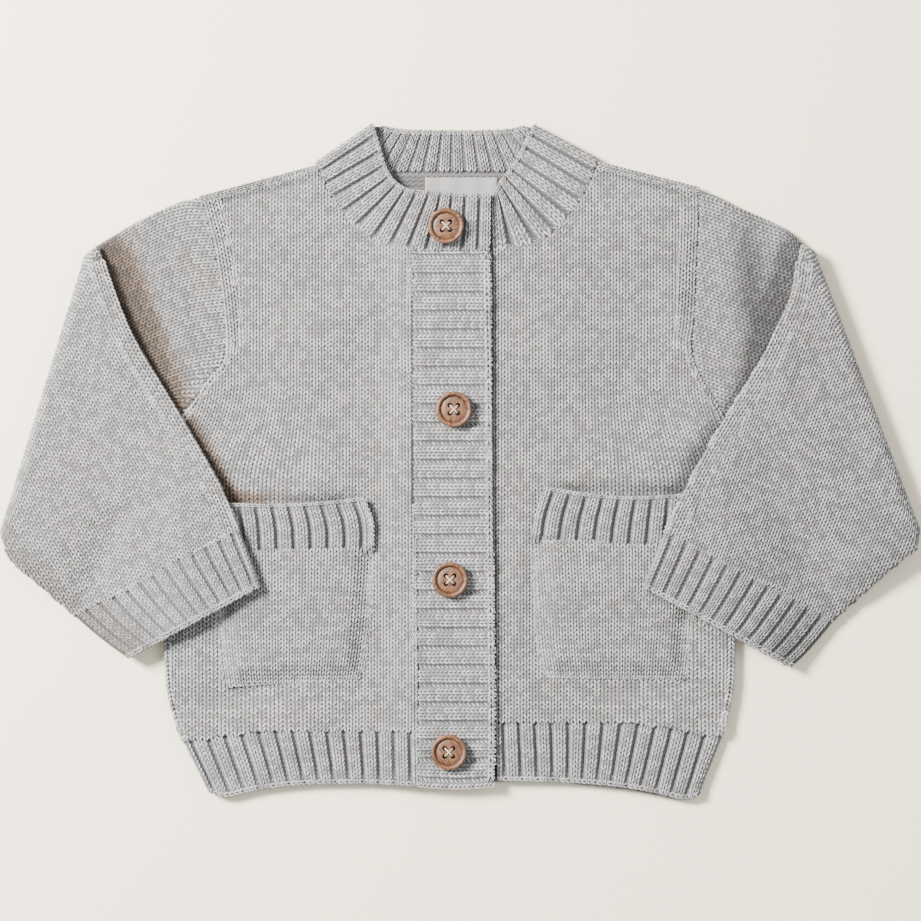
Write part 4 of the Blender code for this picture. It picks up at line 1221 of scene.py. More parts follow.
NECK_RIB = 6.3  # one rib and its groove
NECK_RISE = 1.2
GROOVE_PAINTED_SHADE = 0.6  # painted shade in the grooves on the neckband's right front part
NECK_LAP = {  # the lapped ends: seam x, y, free edge x, y
    "left": [(11.0, 88.0, 11.4, 111.7), (-5.0, 88.0, -2.5, 112.2)],
    "right": [(-19.4, 88.2, -19.4, 110.0), (-3.0, 88.2, -4.0, 110.0)],
}
NECK_BACK = [  # from the left fold to the right: seam x, y, free edge x, y
    (-50.0, 121.4, -32.5, 140.6), (-36.0, 121.4, -25.5, 138.9), (-20.0, 121.4, -15.0, 138.5),
    (-4.0, 121.4, -4.0, 138.4), (12.0, 121.4, 8.0, 138.5), (30.0, 121.4, 18.5, 138.9),
    (44.0, 121.5, 25.8, 140.6),
]
TURN = (CLOTH + GAP) / 2
TUBE = TURN + CLOTH / 2


def neck_front(side):
    """Stations of the neckband in front, from its lapped end back to the neck fold: seam and free points."""
    table = np.array(NECK_LAP[side] + NECK[side][:0:-1], float)
    table = through(table, np.linspace(0, len(table) - 1, 6 * len(table)))
    lift = np.zeros((len(table), 2))
    if side == "left":
        lift = np.stack([left_rise(table[:, 0], table[:, 1]), left_rise(table[:, 2], table[:, 3])], 1)
    return np.column_stack([
        table[:, 0], table[:, 1], FRONT_Z + lift[:, 0], table[:, 2], table[:, 3], FRONT_Z + NECK_RISE + lift[:, 1],
    ])


def neck_fold(side):
    """Stations of the neckband as it turns over the side of the neck."""
    seam_x, seam_y, free_x, free_y = NECK[side][0]
    seam, free = np.array((seam_x, seam_y, 0.0)), np.array((free_x, free_y, 0.0))
    along = unit(free - seam)
    outward = np.array((-along[1], along[0], 0.0))
    outward *= np.sign(outward[1])
    rows = []
    for a in np.linspace(0, math.pi, 9):
        rim = np.array((0, 0, TUBE + TURN * math.cos(a))) + outward * TURN * math.sin(a)
        lift = np.array((0, 0, NECK_RISE * 0.5 * (1 + math.cos(a))))
        rows.append(np.concatenate([seam + rim, free + rim + lift]))
    return np.array(rows)


def neck_path():
    """All stations of the neckband, from its upper end round the neck to the end under it."""
    back = np.array([(a, b, BACK_Z, c, d, BACK_Z) for a, b, c, d in NECK_BACK])
    return np.vstack([
        neck_front("left"), neck_fold("left"), back, neck_fold("right")[::-1], neck_front("right")[::-1],
    ])


def make_neckband():
    """The neckband's rows run along the neck, from its seam to its free edge."""
    path = neck_path()
    middle = (path[:, :3] + path[:, 3:]) / 2
    run = distances(middle)
    shares, ribs = rib_places(run[-1], NECK_RIB, 0.2)
    at = shares * run[-1]
    row = np.stack([np.interp(at, run, path[:, k]) for k in range(6)], 1)
    up = np.array([0.0, 0.06, 0.16, 0.3, 0.45, 0.6, 0.74, 0.86, 0.94, 1.0])[:, None, None]
    points = mix(row[None, :, :3], row[None, :, 3:], up)
    points[..., 2] += 0.5 * np.sin(math.pi * np.clip(up[..., 0], 0, 1)) * (points[..., 2] > 3)
    relief = soft(up[..., 0] / 0.08) * (1 - 0.85 * soft((up[..., 0] - 0.84) / 0.12))
    relief = relief * np.where(points[..., 2] > BACK_Z + 0.7, 1.0, 0.25)
    groove = np.clip(1 - np.abs(ribs % 1 - RIB_GROOVE) / 0.17, 0, 1)[None]
    shaded_right_front = (points[..., 0] > 18) & (points[..., 2] > FRONT_Z - 0.5)
    chart, dusk = (ribs[None], up[..., 0] * 22 / COURSE), GROOVE_PAINTED_SHADE * groove * shaded_right_front
    made = lay_grid("neckband_rib", points, chart, relief, dusk)
    pieces = knit_up(made, SHADED_RIB_UNDER, RIBBED, RIB_WALL, GROOVE, stitches="rib")
    edge = mix(points[-1], points[-2], 0.5)
    in_front = np.flatnonzero(edge[:, 2] > FRONT_Z)
    gap = np.argmax(np.diff(in_front)) + 1
    for end, part in (("left", in_front[:gap]), ("right", in_front[gap:])):
        pieces.append(edge_row(
            "neck_cast_off_" + end, edge[part] + (0, 0, 0.05), course=2.2, wide=1.5, crown=0.25, shade=0.12))
    declare(
        made, ["neckband"],
    )


def make_neck_inside():
    """The inner side of the neckband, which shows behind the neck, and the row of loops along its edge."""
    rows = np.array(NECK_BACK)
    shares, ribs = rib_places(95.0, NECK_RIB, 0.5)
    row, _ = row_at(rows, shares)
    up = np.array([0.0, 0.15, 0.35, 0.6, 0.85, 1.0])[:, None, None]
    plan = mix(row[None, :, :2], row[None, :, 2:], up)
    points = np.dstack([plan, np.full(plan.shape[:2], BACK_Z + 0.35)])
    made = lay_grid("neckband_inside", points[:, ::-1], (ribs[None, ::-1], up[..., 0] * 17 / COURSE), 1.0)
    made.data.materials.append(SHADED_RIB_UNDER)
    add_tree(made, RIBBING, **{"Groove Depth": GROOVE, "Yarn": SHADED_RIB_UNDER})
    settle_mesh(made)
    if made.data.polygons[0].normal.z < 0:
        made.data.flip_normals()
    purls_over(made, GROOVE)
    stitch_over(made, ribbed=True, depth=GROOVE)
    bpy.data.objects.remove(made)
    edge = row[:, 2:] - (0, 0.8)
    edge = lifted(edge, BACK_Z + 0.4)
    edge_row("neck_cast_off_back", edge, course=2.2, wide=1.6, crown=0.3, shade=0.15)


make_neckband()
make_neck_inside()

# ------------------------------------------------------------------ the pockets
# Each front carries a patch pocket of plain knitting, sewn on at its sides and foot,
# with a ribbed mouth that stands a little open.

POCKET_Z = FRONT_Z + LAYER
POCKET_RIB_WIDTH = 6.8
POCKET_MOUTH = {  # from the mouth down to the bag: left x, y, right x, y
    "left": [(-103.4, -17.2, -41.0, -15.2), (-102.8, -27.4, -37.4, -25.6), (-102.2, -38.0, -37.2, -36.2)],
    "right": [(35.2, -10.7, 98.4, -13.0), (31.4, -21.8, 98.0, -24.6), (29.8, -31.8, 97.4, -36.2)],
}
POCKET_BAG = {
    "left": [
        (-102.2, -38.3, -37.4, -36.5), (-101.6, -52.0, -38.2, -50.0), (-100.8, -66.0, -39.4, -64.0),
        (-99.8, -80.0, -40.8, -77.6), (-98.2, -94.2, -43.0, -90.7),
    ],
    "right": [
        (29.8, -32.1, 97.4, -36.5), (31.0, -48.0, 96.8, -50.0), (32.0, -63.0, 95.8, -64.0),
        (33.0, -77.0, 94.6, -78.0), (35.0, -90.2, 93.0, -91.4),
    ],
}
MOUTH_DEEP = 21
MOUTH_SAG = {"left": 1.6, "right": 2.8}


def make_pocket(side):
    """The bag of one pocket and its ribbed mouth."""
    rows = through(POCKET_BAG[side], np.linspace(0, len(POCKET_BAG[side]) - 1, 30))
    across = np.linspace(0, 1, 34)[None]
    x, y = mix(rows[:, :1], rows[:, 2:3], across), mix(rows[:, 1:2], rows[:, 3:4], across)
    low = np.minimum(np.minimum(across * 62, (1 - across) * 62), np.linspace(56, 0, 30)[:, None])
    z = POCKET_Z - 2.0 * (1 - soft(low / 9)) + waves(x, y, seed=11, size=40, height=0.3) * soft(low / 8)
    drift = mix((rows[:, 0] - rows[0, 0])[:, None], (rows[:, 2] - rows[0, 2])[:, None], across)
    bag = lay_grid("pocket_knit_" + side, np.dstack([x, y, z]), ((x - drift) / WALE, y / COURSE))
    pieces = knit_up(bag, SHADED_UNDER, REVERSE, WALL_UNDER_STITCHES, stitches="plain")
    declare(bag, ["pocket_" + side])
    mouth = np.asarray(POCKET_MOUTH[side], float)
    width = mouth[0, 2] - mouth[0, 0]
    shares, ribs = rib_places(width, POCKET_RIB_WIDTH, 0.3)
    down = np.array([0.0, 0.05, 0.12, 0.25, 0.4, 0.55, 0.7, 0.85, 0.96, 1.07])
    rows = through(mouth, down * 2)
    rows[-1] = mouth[-1] + (mouth[-1] - mouth[-2]) * 0.14
    x, y = mix(rows[:, :1], rows[:, 2:3], shares), mix(rows[:, 1:2], rows[:, 3:4], shares)
    fade = (1 - np.minimum(down, 1))[:, None]
    y = y - MOUTH_SAG[side] * fade * np.sin(math.pi * shares)
    z = POCKET_Z + 1.3 * fade + 0.0 * x - 0.6 * (down[:, None] > 1)
    relief = np.broadcast_to((soft((down - 0.06) / 0.1) * (1 - 0.7 * (down > 1)))[:, None], x.shape)
    chart = (ribs[None], -down[:, None] * MOUTH_DEEP / COURSE)
    rib = lay_grid("pocket_mouth_" + side, np.dstack([x, y, z]), chart, relief)
    pieces = knit_up(rib, SHADED_RIB_UNDER, RIBBED, RIB_WALL, GROOVE, stitches="rib")
    edge = np.column_stack([x[0], y[0] - 0.7, z[0] + 0.15])
    pieces.append(edge_row("pocket_cast_off_" + side, edge, course=2.2, wide=1.5, crown=0.3, shade=0.12))
    for name, column, inward in (("outer", 0, 0.5), ("inner", -1, -0.5)):
        end = np.column_stack([x[:-1, column] + inward, y[:-1, column], z[:-1, column] - 0.05])
        pieces.append(edge_row(f"pocket_end_{side}_{name}", end, course=2.2, wide=2.0, crown=0.3, lift=0.3))
    declare(rib, ["pocket_rib_" + side])


def sew_pocket(side):
    """The disturbed loops where a pocket's sides are sewn down, darkened with painted shade."""
    rows = np.array(POCKET_BAG[side])
    for edge, (column, outward) in {"outer": (0, -1), "inner": (2, 1)}.items():
        if side == "right":
            outward = {0: -1, 2: 1}[column]
        path = through(rows[:, column:column + 2], np.linspace(0.1, 3.9, 30))
        path[:, 0] += outward * 0.4 + 0.35 * np.sin(np.arange(30) * 2.4) * np.sin(np.arange(30) * 0.7)
        path = lifted(path, FRONT_Z + 0.3)
        edge_row(f"pocket_seam_{side}_{edge}", path, course=3.3, wide=3.2, crown=0.2, lift=0.1, shade=0.16)
    foot = np.linspace(rows[-1, :2], rows[-1, 2:], 20) + (0, 0.4)
    foot = lifted(foot, FRONT_Z + 0.3)
    edge_row(f"pocket_seam_{side}_foot", foot, wide=2.4, crown=0.2, lift=0.1, shade=0.16)


for side in ("left", "right"):
    make_pocket(side)
    sew_pocket(side)

# ------------------------------------------------------------------ the sleeves
# Each sleeve is a plain knitted tube set on at a dropped armhole. It lies flat out to a fold line
# and then comes back over the front, so its far part shows the side that faces backwards when worn.

SLEEVE_NEAR = {  # from the armhole to the fold: top edge x, y, underarm edge x, y, share of the armhole's curve
    "left": [
        (-109.0, 110.9, -124.1, 10.5, 1.0), (-117.0, 109.2, -135.0, 4.0, 0.75),
        (-126.5, 105.3, -147.5, -3.5, 0.45), (-136.0, 100.3, -160.5, -12.5, 0.2),
        (-144.5, 95.4, -172.5, -22.0, 0.05), (-152.2, 90.4, -190.9, -36.4, 0.0),
    ],
    "right": [
        (99.0, 114.6, 114.0, 10.5, 1.0), (108.0, 110.7, 125.0, 4.5, 0.75),
        (117.0, 106.3, 138.0, -3.0, 0.45), (126.5, 101.9, 152.0, -12.0, 0.2),
        (135.5, 97.6, 166.0, -22.0, 0.05), (142.2, 91.5, 190.3, -35.9, 0.0),
    ],
}
SLEEVE_FAR = {  # from the fold to the cuff: inner edge x, y, outer edge x, y
    "left": [
        (-147.6, 77.0, -190.6, -38.6), (-141.3, 61.0, -188.6, -42.2), (-134.2, 47.0, -185.4, -45.4),
        (-127.0, 35.6, -181.6, -48.7), (-119.6, 23.6, -177.6, -52.2), (-112.4, 11.6, -173.8, -55.6),
        (-105.4, -0.2, -170.0, -59.0), (-98.6, -12.4, -166.2, -62.3), (-92.2, -27.7, -162.5, -65.5),
    ],
    "right": [
        (139.0, 72.0, 190.0, -38.3), (132.6, 58.0, 186.6, -40.6), (126.4, 45.2, 182.8, -43.8),
        (119.6, 34.0, 178.6, -47.4), (112.2, 22.6, 174.2, -51.4), (105.0, 11.0, 169.6, -55.6),
        (97.8, -1.8, 165.2, -59.6), (90.8, -15.0, 160.8, -63.6), (84.2, -29.0, 156.4, -67.6),
    ],
}
CUFF = {  # from the sleeve to the open end: inner edge x, y, outer edge x, y
    "left": [
        (-92.2, -27.7, -162.5, -65.5), (-89.0, -36.0, -155.2, -71.9), (-85.8, -44.2, -147.4, -77.8),
        (-83.0, -51.7, -139.9, -82.8),
    ],
    "right": [
        (84.2, -29.0, 156.4, -67.6), (81.0, -37.0, 150.6, -74.8), (77.8, -45.0, 144.6, -81.4),
        (75.0, -52.0, 138.6, -86.7),
    ],
}
SLEEVE_CREASES = {
    "left": [
        (-176, 22, -142, 2, -0.7, 6), (-172, -34, -118, -14, -0.6, 5), (-150, 52, -138, 20, 0.6, 6),
        (-182, -30, -150, -58, 0.5, 5),
    ],
    "right": [
        (148, 18, 180, -14, -0.7, 6), (112, -4, 152, -44, -0.6, 6), (138, 56, 128, 22, 0.6, 6),
        (158, -52, 182, -34, 0.5, 5),
    ],
}
CAP_PAINTED_SHADE = {  # painted shade in a band beside the fold
    "left": [(-150, 70, -128, 26, 0.06, 12)], "right": [(118, 110, 125, 30, 0.68, 7.0)],
}
SLEEVE_DUSK = {"left": (0.13, 0.06), "right": (0.05, 0.0)}  # painted shade over the near and the far part
EDGE_COLUMNS = 7.8  # three stitches follow the inner edge of the folded part
FOLD_TRIM = 4.2
FOLD_RADIUS = TUBE + GAP / 2
FOLD_RUN = math.pi * (FOLD_RADIUS + TURN)  # cloth that goes round the outside of the fold
EDGE_MARGIN, EDGE_SLOPE = 8.0, 30.0
POCKET_MARGIN, POCKET_SLOPE = 8.0, 24.0
BODY_MIDDLE, BODY_HALF = -4, 118  # beyond the body, the inner wall of the folded part shows from below
NEAR_RINGS, FOLD_RINGS, FAR_RINGS = 24, 11, 44
UP = np.array((0.0, 0.0, 1.0))
WIDTH_STEPS = 26
ROUND_STEPS = 4


def tube_height(side, x, y):
    """Middle height of the folded sleeve where it lies over sleeve, front and pocket, or on the ground."""
    sign = OUTWARD[side]
    under_in = np.array(ARMHOLE[side][-1])
    along = unit(np.array(SLEEVE_NEAR[side][-1][2:4]) - under_in)
    across = np.array((-along[1], along[0])) * sign
    below_sleeve = -((x - under_in[0]) * across[0] + (y - under_in[1]) * across[1])
    beyond_side = sign * (x - SIDE[side][1][0])
    level = 1 - soft((np.minimum(below_sleeve, beyond_side) - EDGE_MARGIN) / EDGE_SLOPE)
    mouth, bag = POCKET_MOUTH[side], POCKET_BAG[side]
    x_low, x_high = min(r[0] for r in mouth), max(r[2] for r in mouth)
    y_low, y_high = bag[-1][1], mouth[0][1]
    outside = np.maximum(np.maximum(x_low - x, x - x_high), np.maximum(y_low - y, y - y_high))
    over = 1 - soft((outside - POCKET_MARGIN) / POCKET_SLOPE)
    return TUBE + 2 * LAYER * level + LAYER * over


def flat_tube(line, face):
    """One ring of a flattened tube: from its outer edge along the far wall, round its inner edge and back."""
    head, foot = unit(line[0] - line[1]), unit(line[-1] - line[-2])
    reach = np.linalg.norm(line[-1] - line[0])
    start, end = line[0] - head * TUBE, line[-1] - foot * TUBE
    scale = (reach - 2 * TUBE) / reach
    line = start + (line - line[0]) * scale
    round_foot = [line[-1] + (foot * math.sin(a) + face * math.cos(a)) * TURN
                  for a in np.linspace(math.pi / 2, math.pi, ROUND_STEPS)[:-1]]
    round_head = [line[0] + (head * math.sin(a) - face * math.cos(a)) * TURN
                  for a in np.linspace(0, math.pi, 2 * ROUND_STEPS - 1)[1:-1]]
    round_end = [line[-1] + (foot * math.sin(a) + face * math.cos(a)) * TURN
                 for a in np.linspace(0, math.pi / 2, ROUND_STEPS)[1:]]
    far_wall, near_wall = [p - face * TURN for p in line[::-1]], [p + face * TURN for p in line]
    return np.array(round_foot + far_wall + round_head + near_wall + round_end)


def ring_signs(count):
    """For each point of a ring: -1 on the far wall, 1 on the near one, and between them round the inner edge."""
    turn = list(np.linspace(-1, 1, 2 * ROUND_STEPS - 1)[1:-1])
    return np.array([-1.0] * (ROUND_STEPS - 1 + count) + turn + [1.0] * (count + ROUND_STEPS - 1))


def on_ring(line):
    """The values along a line as the ring made from it repeats them."""
    foot = [line[-1]] * (ROUND_STEPS - 1)
    head = [line[0]] * (2 * ROUND_STEPS - 3)
    return np.array(foot + list(line[::-1]) + head + list(line) + foot)


def beside_sleeve(side, x, y):
    """How far a place lies inward from the folded part's inner edge."""
    edge = [SLEEVE_NEAR[side][-1], *SLEEVE_FAR[side], *CUFF[side][1:]]
    return -OUTWARD[side] * (x - x_at(edge, y))


def near_rings(side, shares):
    """The part from the armhole out to the fold line, its first ring bowed like the armhole."""
    seam = np.array(ARMHOLE[side], float)
    run = distances(seam)
    curve = np.stack([np.interp(shares, run / run[-1], seam[:, k]) for k in (0, 1)], 1)
    bow = curve - mix(seam[0], seam[-1], shares[:, None])
    table = through(SLEEVE_NEAR[side], np.linspace(0, 5, NEAR_RINGS))
    patterns = [mix(row[:2], row[2:4], shares[:, None]) + bow * row[4] for row in table]
    return table, [flat_tube(lifted(line, TUBE), UP) for line in patterns], patterns


def fold_rings(shares, top, under, outward):
    """The part that turns over at the fold line."""
    out3 = np.array((*outward, 0.0))
    top3, under3 = np.array((*top, 0.0)), np.array((*under, 0.0))
    along3 = unit(under3 - top3)
    rings, patterns = [], []
    for turn in np.linspace(0, math.pi, FOLD_RINGS + 2)[1:-1]:
        trim = FOLD_TRIM * math.sin(turn)
        offset = out3 * FOLD_RADIUS * math.sin(turn) + UP * (2 * TUBE + GAP / 2 - FOLD_RADIUS * math.cos(turn))
        line = mix(top3 + along3 * trim, under3 - along3 * trim, shares[:, None]) + offset
        rings.append(flat_tube(line, UP * math.cos(turn) - out3 * math.sin(turn)))
        patterns.append(mix(top, under, shares[:, None]) + outward * FOLD_RUN * turn / math.pi)
    return rings, patterns


def far_rings(side, shares, top, under, outward):
    """The part that comes back over the front, with its widths and the line that its edge's stitches follow."""
    table = np.array([(*top, *under), *SLEEVE_FAR[side]])
    rings, patterns, widths, edge_line = [], [], [], []
    for row in through(table, np.linspace(0, len(table) - 1, FAR_RINGS)):
        plan = mix(row[:2], row[2:], shares[:, None])
        height = tube_height(side, plan[:, 0], plan[:, 1])
        loose = waves(plan[:, 0], plan[:, 1], seed=21, size=45, height=0.35)
        loose = loose + creases(plan[:, 0], plan[:, 1], SLEEVE_CREASES[side])
        beyond = (plan - top) @ outward
        height = height + loose * soft((np.abs(beyond) - 4) / 12)
        rings.append(flat_tube(lifted(plan, height), -UP))
        patterns.append(plan - 2 * beyond[:, None] * outward + outward * FOLD_RUN)
        widths.append(np.linalg.norm(row[2:] - row[:2]))
        edge_line.append((*(row[:2] + unit(row[2:] - row[:2]) * (EDGE_COLUMNS / 2 + 0.7)), height[1] + TURN - 0.1))
    return rings, patterns, widths, edge_line


def sleeve_chart(side, table, patterns, signs):
    """How far round and how far along the tube each point lies, from the flat pattern of its ring."""
    start, toward = table[0, :2], unit(table[-1, :2] - table[0, :2])
    across = np.array((toward[1], -toward[0])) * OUTWARD[side]
    across *= -np.sign(across[1]) if across[1] > 0 else 1
    off = (patterns - start) @ across
    ring_off = np.array([on_ring(line) for line in off])
    ring_course = np.array([on_ring(line) for line in (patterns - start) @ toward])
    edge = off[:, :1]
    round_tube = np.where(signs < 0, -ring_off, ring_off - 2 * edge)
    middle = np.abs(signs) < 1
    round_tube = np.where(
        middle[None], -edge + signs[None] * TURN * 1.4, round_tube + np.where(signs < 0, -1, 1) * 1.6)
    first = np.arange(ROUND_STEPS - 1)
    round_tube[:, first] -= (ROUND_STEPS - 1 - first) * 0.6
    round_tube[:, -1 - first] += (ROUND_STEPS - 1 - first) * 0.6
    return round_tube, ring_course


def sleeve_shade(side, x, y, course, share, signs, on_near):
    """The shadow of the folded part on the near part's upper side, and the dimmer outer edge of the folded part."""
    away = beside_sleeve(side, x, y)
    wide = 2.5 + CAP_SHADOW[side] + 6.5 * soft((y - 22) / 45) * soft((100 - y) / 14)
    upper = soft(0.5 + signs / 2)[None]
    # All of this is painted shade: the folded part's shadow, a band beside the fold, a line along the armhole seam, a
    # little over each part, and the outer edge of the folded part.
    shade = SHADOW_DEPTH[side] * (1 - soft((away - wide + 1.5) / 6.0)) * (away > -6) * on_near * upper
    shade = shade + creases(x, y, CAP_PAINTED_SHADE[side]) * on_near * upper
    shade = np.maximum(shade, 0.35 * np.exp(-(course / 1.6) ** 2) * on_near)
    shade = np.clip(shade + np.where(on_near, *SLEEVE_DUSK[side]), 0, 0.78)
    return np.maximum(shade, 0.24 * soft((share - 0.84) / 0.16)[None] * (1 - on_near))


def hidden_sleeve(side, x, y, share, signs, widths):
    """1 where the sleeve needs no stitches: on walls that face each other, and under the row along its edge."""
    hidden = np.zeros(x.shape)
    away = beside_sleeve(side, x, y)[:NEAR_RINGS]
    hidden[:NEAR_RINGS] = (away < -9) & (signs > 0)
    first_far = NEAR_RINGS + FOLD_RINGS
    hidden[first_far:] = (signs > 0)[None] & (np.abs(x[first_far:] - BODY_MIDDLE) <= BODY_HALF)
    from_edge = share[None] * np.array(widths)[:, None]
    covered = np.clip((EDGE_COLUMNS - 1.6 - from_edge) / 5 + 0.5, 0, 1) * (signs == -1)[None]
    hidden[first_far + 1:] = np.maximum(hidden[first_far + 1:], covered[1:])
    return hidden


def make_sleeve(side):
    """The sleeve's tube as rings: near part, fold and far part, each ring with its place in the flat pattern."""
    shares = np.linspace(0, 1, WIDTH_STEPS)
    table, rings, patterns = near_rings(side, shares)
    top, under = table[-1, :2], table[-1, 2:4]
    along_fold = unit(under - top)
    outward = np.array((-along_fold[1], along_fold[0]))
    outward *= np.sign(outward[0]) * OUTWARD[side]
    over, over_patterns = fold_rings(shares, top, under, outward)
    back, back_patterns, widths, edge_line = far_rings(side, shares, top, under, outward)
    rings, patterns = np.array(rings + over + back), np.array(patterns + over_patterns + back_patterns)
    signs, share = ring_signs(WIDTH_STEPS), on_ring(shares)
    round_tube, course = sleeve_chart(side, table, patterns, signs)
    x, y = rings[..., 0], rings[..., 1]
    on_near = (np.arange(len(rings)) < NEAR_RINGS)[:, None]
    shade = sleeve_shade(side, x, y, course, share, signs, on_near)
    hidden = hidden_sleeve(side, x, y, share, signs, widths)
    columns = slice(None) if side == "left" else slice(None, None, -1)
    made = lay_grid(
        "sleeve_knit_" + side, rings[:, columns], (round_tube[:, columns] / WALE, -course[:, columns] / COURSE),
        shade=shade[:, columns], seam=True, bare=hidden[:, columns],
    )
    pieces = knit_up(made, SHADED_UNDER, REVERSE, WALL_UNDER_STITCHES, stitches="plain")
    pieces.append(edge_row(
        "sleeve_edge_" + side, edge_line[1:], course=COURSE, wide=EDGE_COLUMNS, crown=0.15, lift=STRAND_LIFT,
        stitches=3, slot="grey_knit", shade=SLEEVE_DUSK[side][1],
    ))
    declare(made, ["sleeve_" + side])


def make_cuff(side):
    """The cuff's ribbed tube, closing the sleeve's end."""
    rows = through(CUFF[side], np.array([-0.0, 0.15, 0.5, 0.9, 1.3, 1.7, 2.1, 2.4, 2.7, 2.88, 3.0]))
    down = np.array([-0.03, 0.05, 0.17, 0.3, 0.43, 0.57, 0.7, 0.8, 0.9, 0.96, 1.0])
    width = np.linalg.norm(rows[0, 2:] - rows[0, :2])
    ribs_each = round(width / (6.4 if side == "left" else 6.9))
    wall = np.array([i + f for i in range(ribs_each) for f in RIB_COLUMNS] + [ribs_each]) / ribs_each
    rings = []
    for row in rows:
        plan = mix(row[:2], row[2:], wall[:, None])
        height = tube_height(side, plan[:, 0], plan[:, 1])
        rings.append(flat_tube(lifted(plan, height), -UP))
    share = on_ring(wall)
    ribs = np.trunc(ring_signs(len(wall))) * (share * ribs_each + 0.1) + 0.27
    rings = np.array(rings)
    relief = (soft((down + 0.03) / 0.1) * (1 - 0.8 * soft((down - 0.75) / 0.25)))[:, None]
    relief = np.broadcast_to(relief, rings.shape[:2])
    columns = slice(None) if side == "left" else slice(None, None, -1)
    along = np.broadcast_to(-down[:, None] * 25 / COURSE, rings.shape[:2])
    # painted shade, deeper towards the outer edge of the cuff
    shade = np.broadcast_to(0.32 * soft((share[None, columns] - 0.62) / 0.38), rings.shape[:2])
    made = lay_grid("cuff_rib_" + side, rings[:, columns], (ribs[None, columns], along), relief, shade, seam=True)
    pieces = knit_up(made, SHADED_RIB_UNDER, RIBBED, RIB_WALL, 0.85, stitches="rib")
    end = rows[-1]
    edge = mix(end[:2], end[2:], wall[:, None])
    back = unit(rows[-2, :2] - end[:2]) * 0.9
    height = tube_height(side, edge[:, 0], edge[:, 1]) + TURN + 0.15
    edge = lifted(edge + back, height)[2:-2]
    pieces.append(edge_row("cuff_edge_" + side, edge, **ROLLED_EDGE))
    declare(
        made, ["cuff_" + side],
    )


for side in ("left", "right"):
    make_sleeve(side)
    make_cuff(side)

# ------------------------------------------------------------------ the slub
# A short dark slub of loose fibre is caught in a groove of the right cuff.
# It is only spun in with the yarn, so nothing else holds it.

SLUB_PLACE = (132.5, -63.8)
SLUB_HALVES = (0.95, 0.4, 0.3)
slub_work = bmesh.new()
bmesh.ops.create_icosphere(slub_work, subdivisions=2, radius=MM)
bmesh.ops.scale(slub_work, vec=SLUB_HALVES, verts=slub_work.verts)
bmesh.ops.rotate(slub_work, cent=(0, 0, 0), matrix=Matrix.Rotation(-0.9, 3, "Z"), verts=slub_work.verts)
slub_z = float(tube_height("right", np.array([SLUB_PLACE[0]]), np.array([SLUB_PLACE[1]]))[0]) + TURN + 0.35
bmesh.ops.translate(slub_work, vec=(np.array((*SLUB_PLACE, slub_z)) + SHIFT) * MM, verts=slub_work.verts)
slub_mesh = bpy.data.meshes.new("dark_slub")
slub_work.to_mesh(slub_mesh)
slub_work.free()
slub_mesh.materials.append(strand_look("dark_slub", light=(0.06, 0.04, 0.03, 1)))
slub = add_object("dark_slub", slub_mesh)
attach(slub, "root")

# ------------------------------------------------------------------ the seams
# The joins that show between the pieces are rows of loops, pulled in lower than the cloth on both sides, most of them
# darkened with painted shade.
# They run round the armholes and the neck, and along both edges and the top of the upper band.

SEAM_STEPS = 60


def seams():
    """All the joins, each a row of stitches along its line."""
    for side in ("left", "right"):
        seam = through(ARMHOLE[side], np.linspace(0.1, len(ARMHOLE[side]) - 1, SEAM_STEPS))
        seam = lifted(seam, FRONT_Z - 0.3)
        edge_row("armhole_seam_" + side, seam, course=2.2, wide=3.6, crown=0.3, shade=0.2)
        neck = through([row[:2] for row in NECK[side]], np.linspace(0.15, 5, 40))
        height = FRONT_Z - 0.45 + (left_rise(neck[:, 0], neck[:, 1]) if side == "left" else 0.0)
        edge_row("neck_seam_" + side, lifted(neck, height), course=2.2, crown=0.3, shade=0.15)
    y = np.linspace(86.5, -134.0, SEAM_STEPS)
    left, right = band_edges(y)
    link = lifted(np.column_stack([left - 0.9, y]), BAND_Z - 0.2)
    edge_row("band_link", link, course=2.0, wide=3.0, crown=0.3, shade=0.12)
    cast_off = lifted(np.column_stack([right - 1.3, y]), BAND_Z + 0.25)
    edge_row("band_cast_off", cast_off, course=2.5, wide=2.9, crown=0.45)
    join = lifted(np.linspace((-20.0, 87.8), (11.5, 87.8), 16), BAND_Z - 0.5)
    edge_row("band_top_seam", join, course=2.2, wide=2.4, crown=0.3, shade=0.2)


seams()

# ------------------------------------------------------------------ the neck label
# A bare woven tape is sewn inside the back neck, just below the neckband.

LABEL_X, LABEL_Y, LABEL_Z = (-15.2, 15.2), (118.8, 107.0), 2.75
WARP_STEP, WEFT_STEP = 0.45, 0.38
tape, wires, shader = new_look("woven_tape", Roughness=0.6)
chart = wires.node("ShaderNodeUVMap", uv_map="Stitch")
split = wires.node("ShaderNodeSeparateXYZ", {"Vector": chart.outputs["UV"]})
warp = wires.math("SINE", wires.times(split.outputs["X"], 2 * math.pi / WARP_STEP))
weft = wires.math("SINE", wires.times(split.outputs["Y"], 2 * math.pi / WEFT_STEP))
cross = wires.times(warp, weft)
wires.feed(shader.inputs["Base Color"], wires.blend(
    "MIX", wires.step(cross, -1.0, 1.0), (0.18, 0.177, 0.17, 1), (0.245, 0.24, 0.231, 1)))
tape_bump = wires.node("ShaderNodeBump", {"Height": cross, "Strength": 0.3, "Distance": 0.0002})
wires.feed(shader.inputs["Normal"], tape_bump.outputs["Normal"])
x, y = np.meshgrid(np.linspace(*LABEL_X, 40), np.linspace(*LABEL_Y, 18))
label = lay_grid("neck_label_tape", np.dstack([x, y, LABEL_Z + 0.25 * np.sin(x * 0.35) ** 2]), (x, y))
knit_up(label, tape, tape, 0.7)
declare(label, ["neck_label"])

# ------------------------------------------------------------------ the buttons
# Four turned wooden buttons with a raised rim and a dished face, sewn on through four holes
# with cream thread that crosses in the middle.

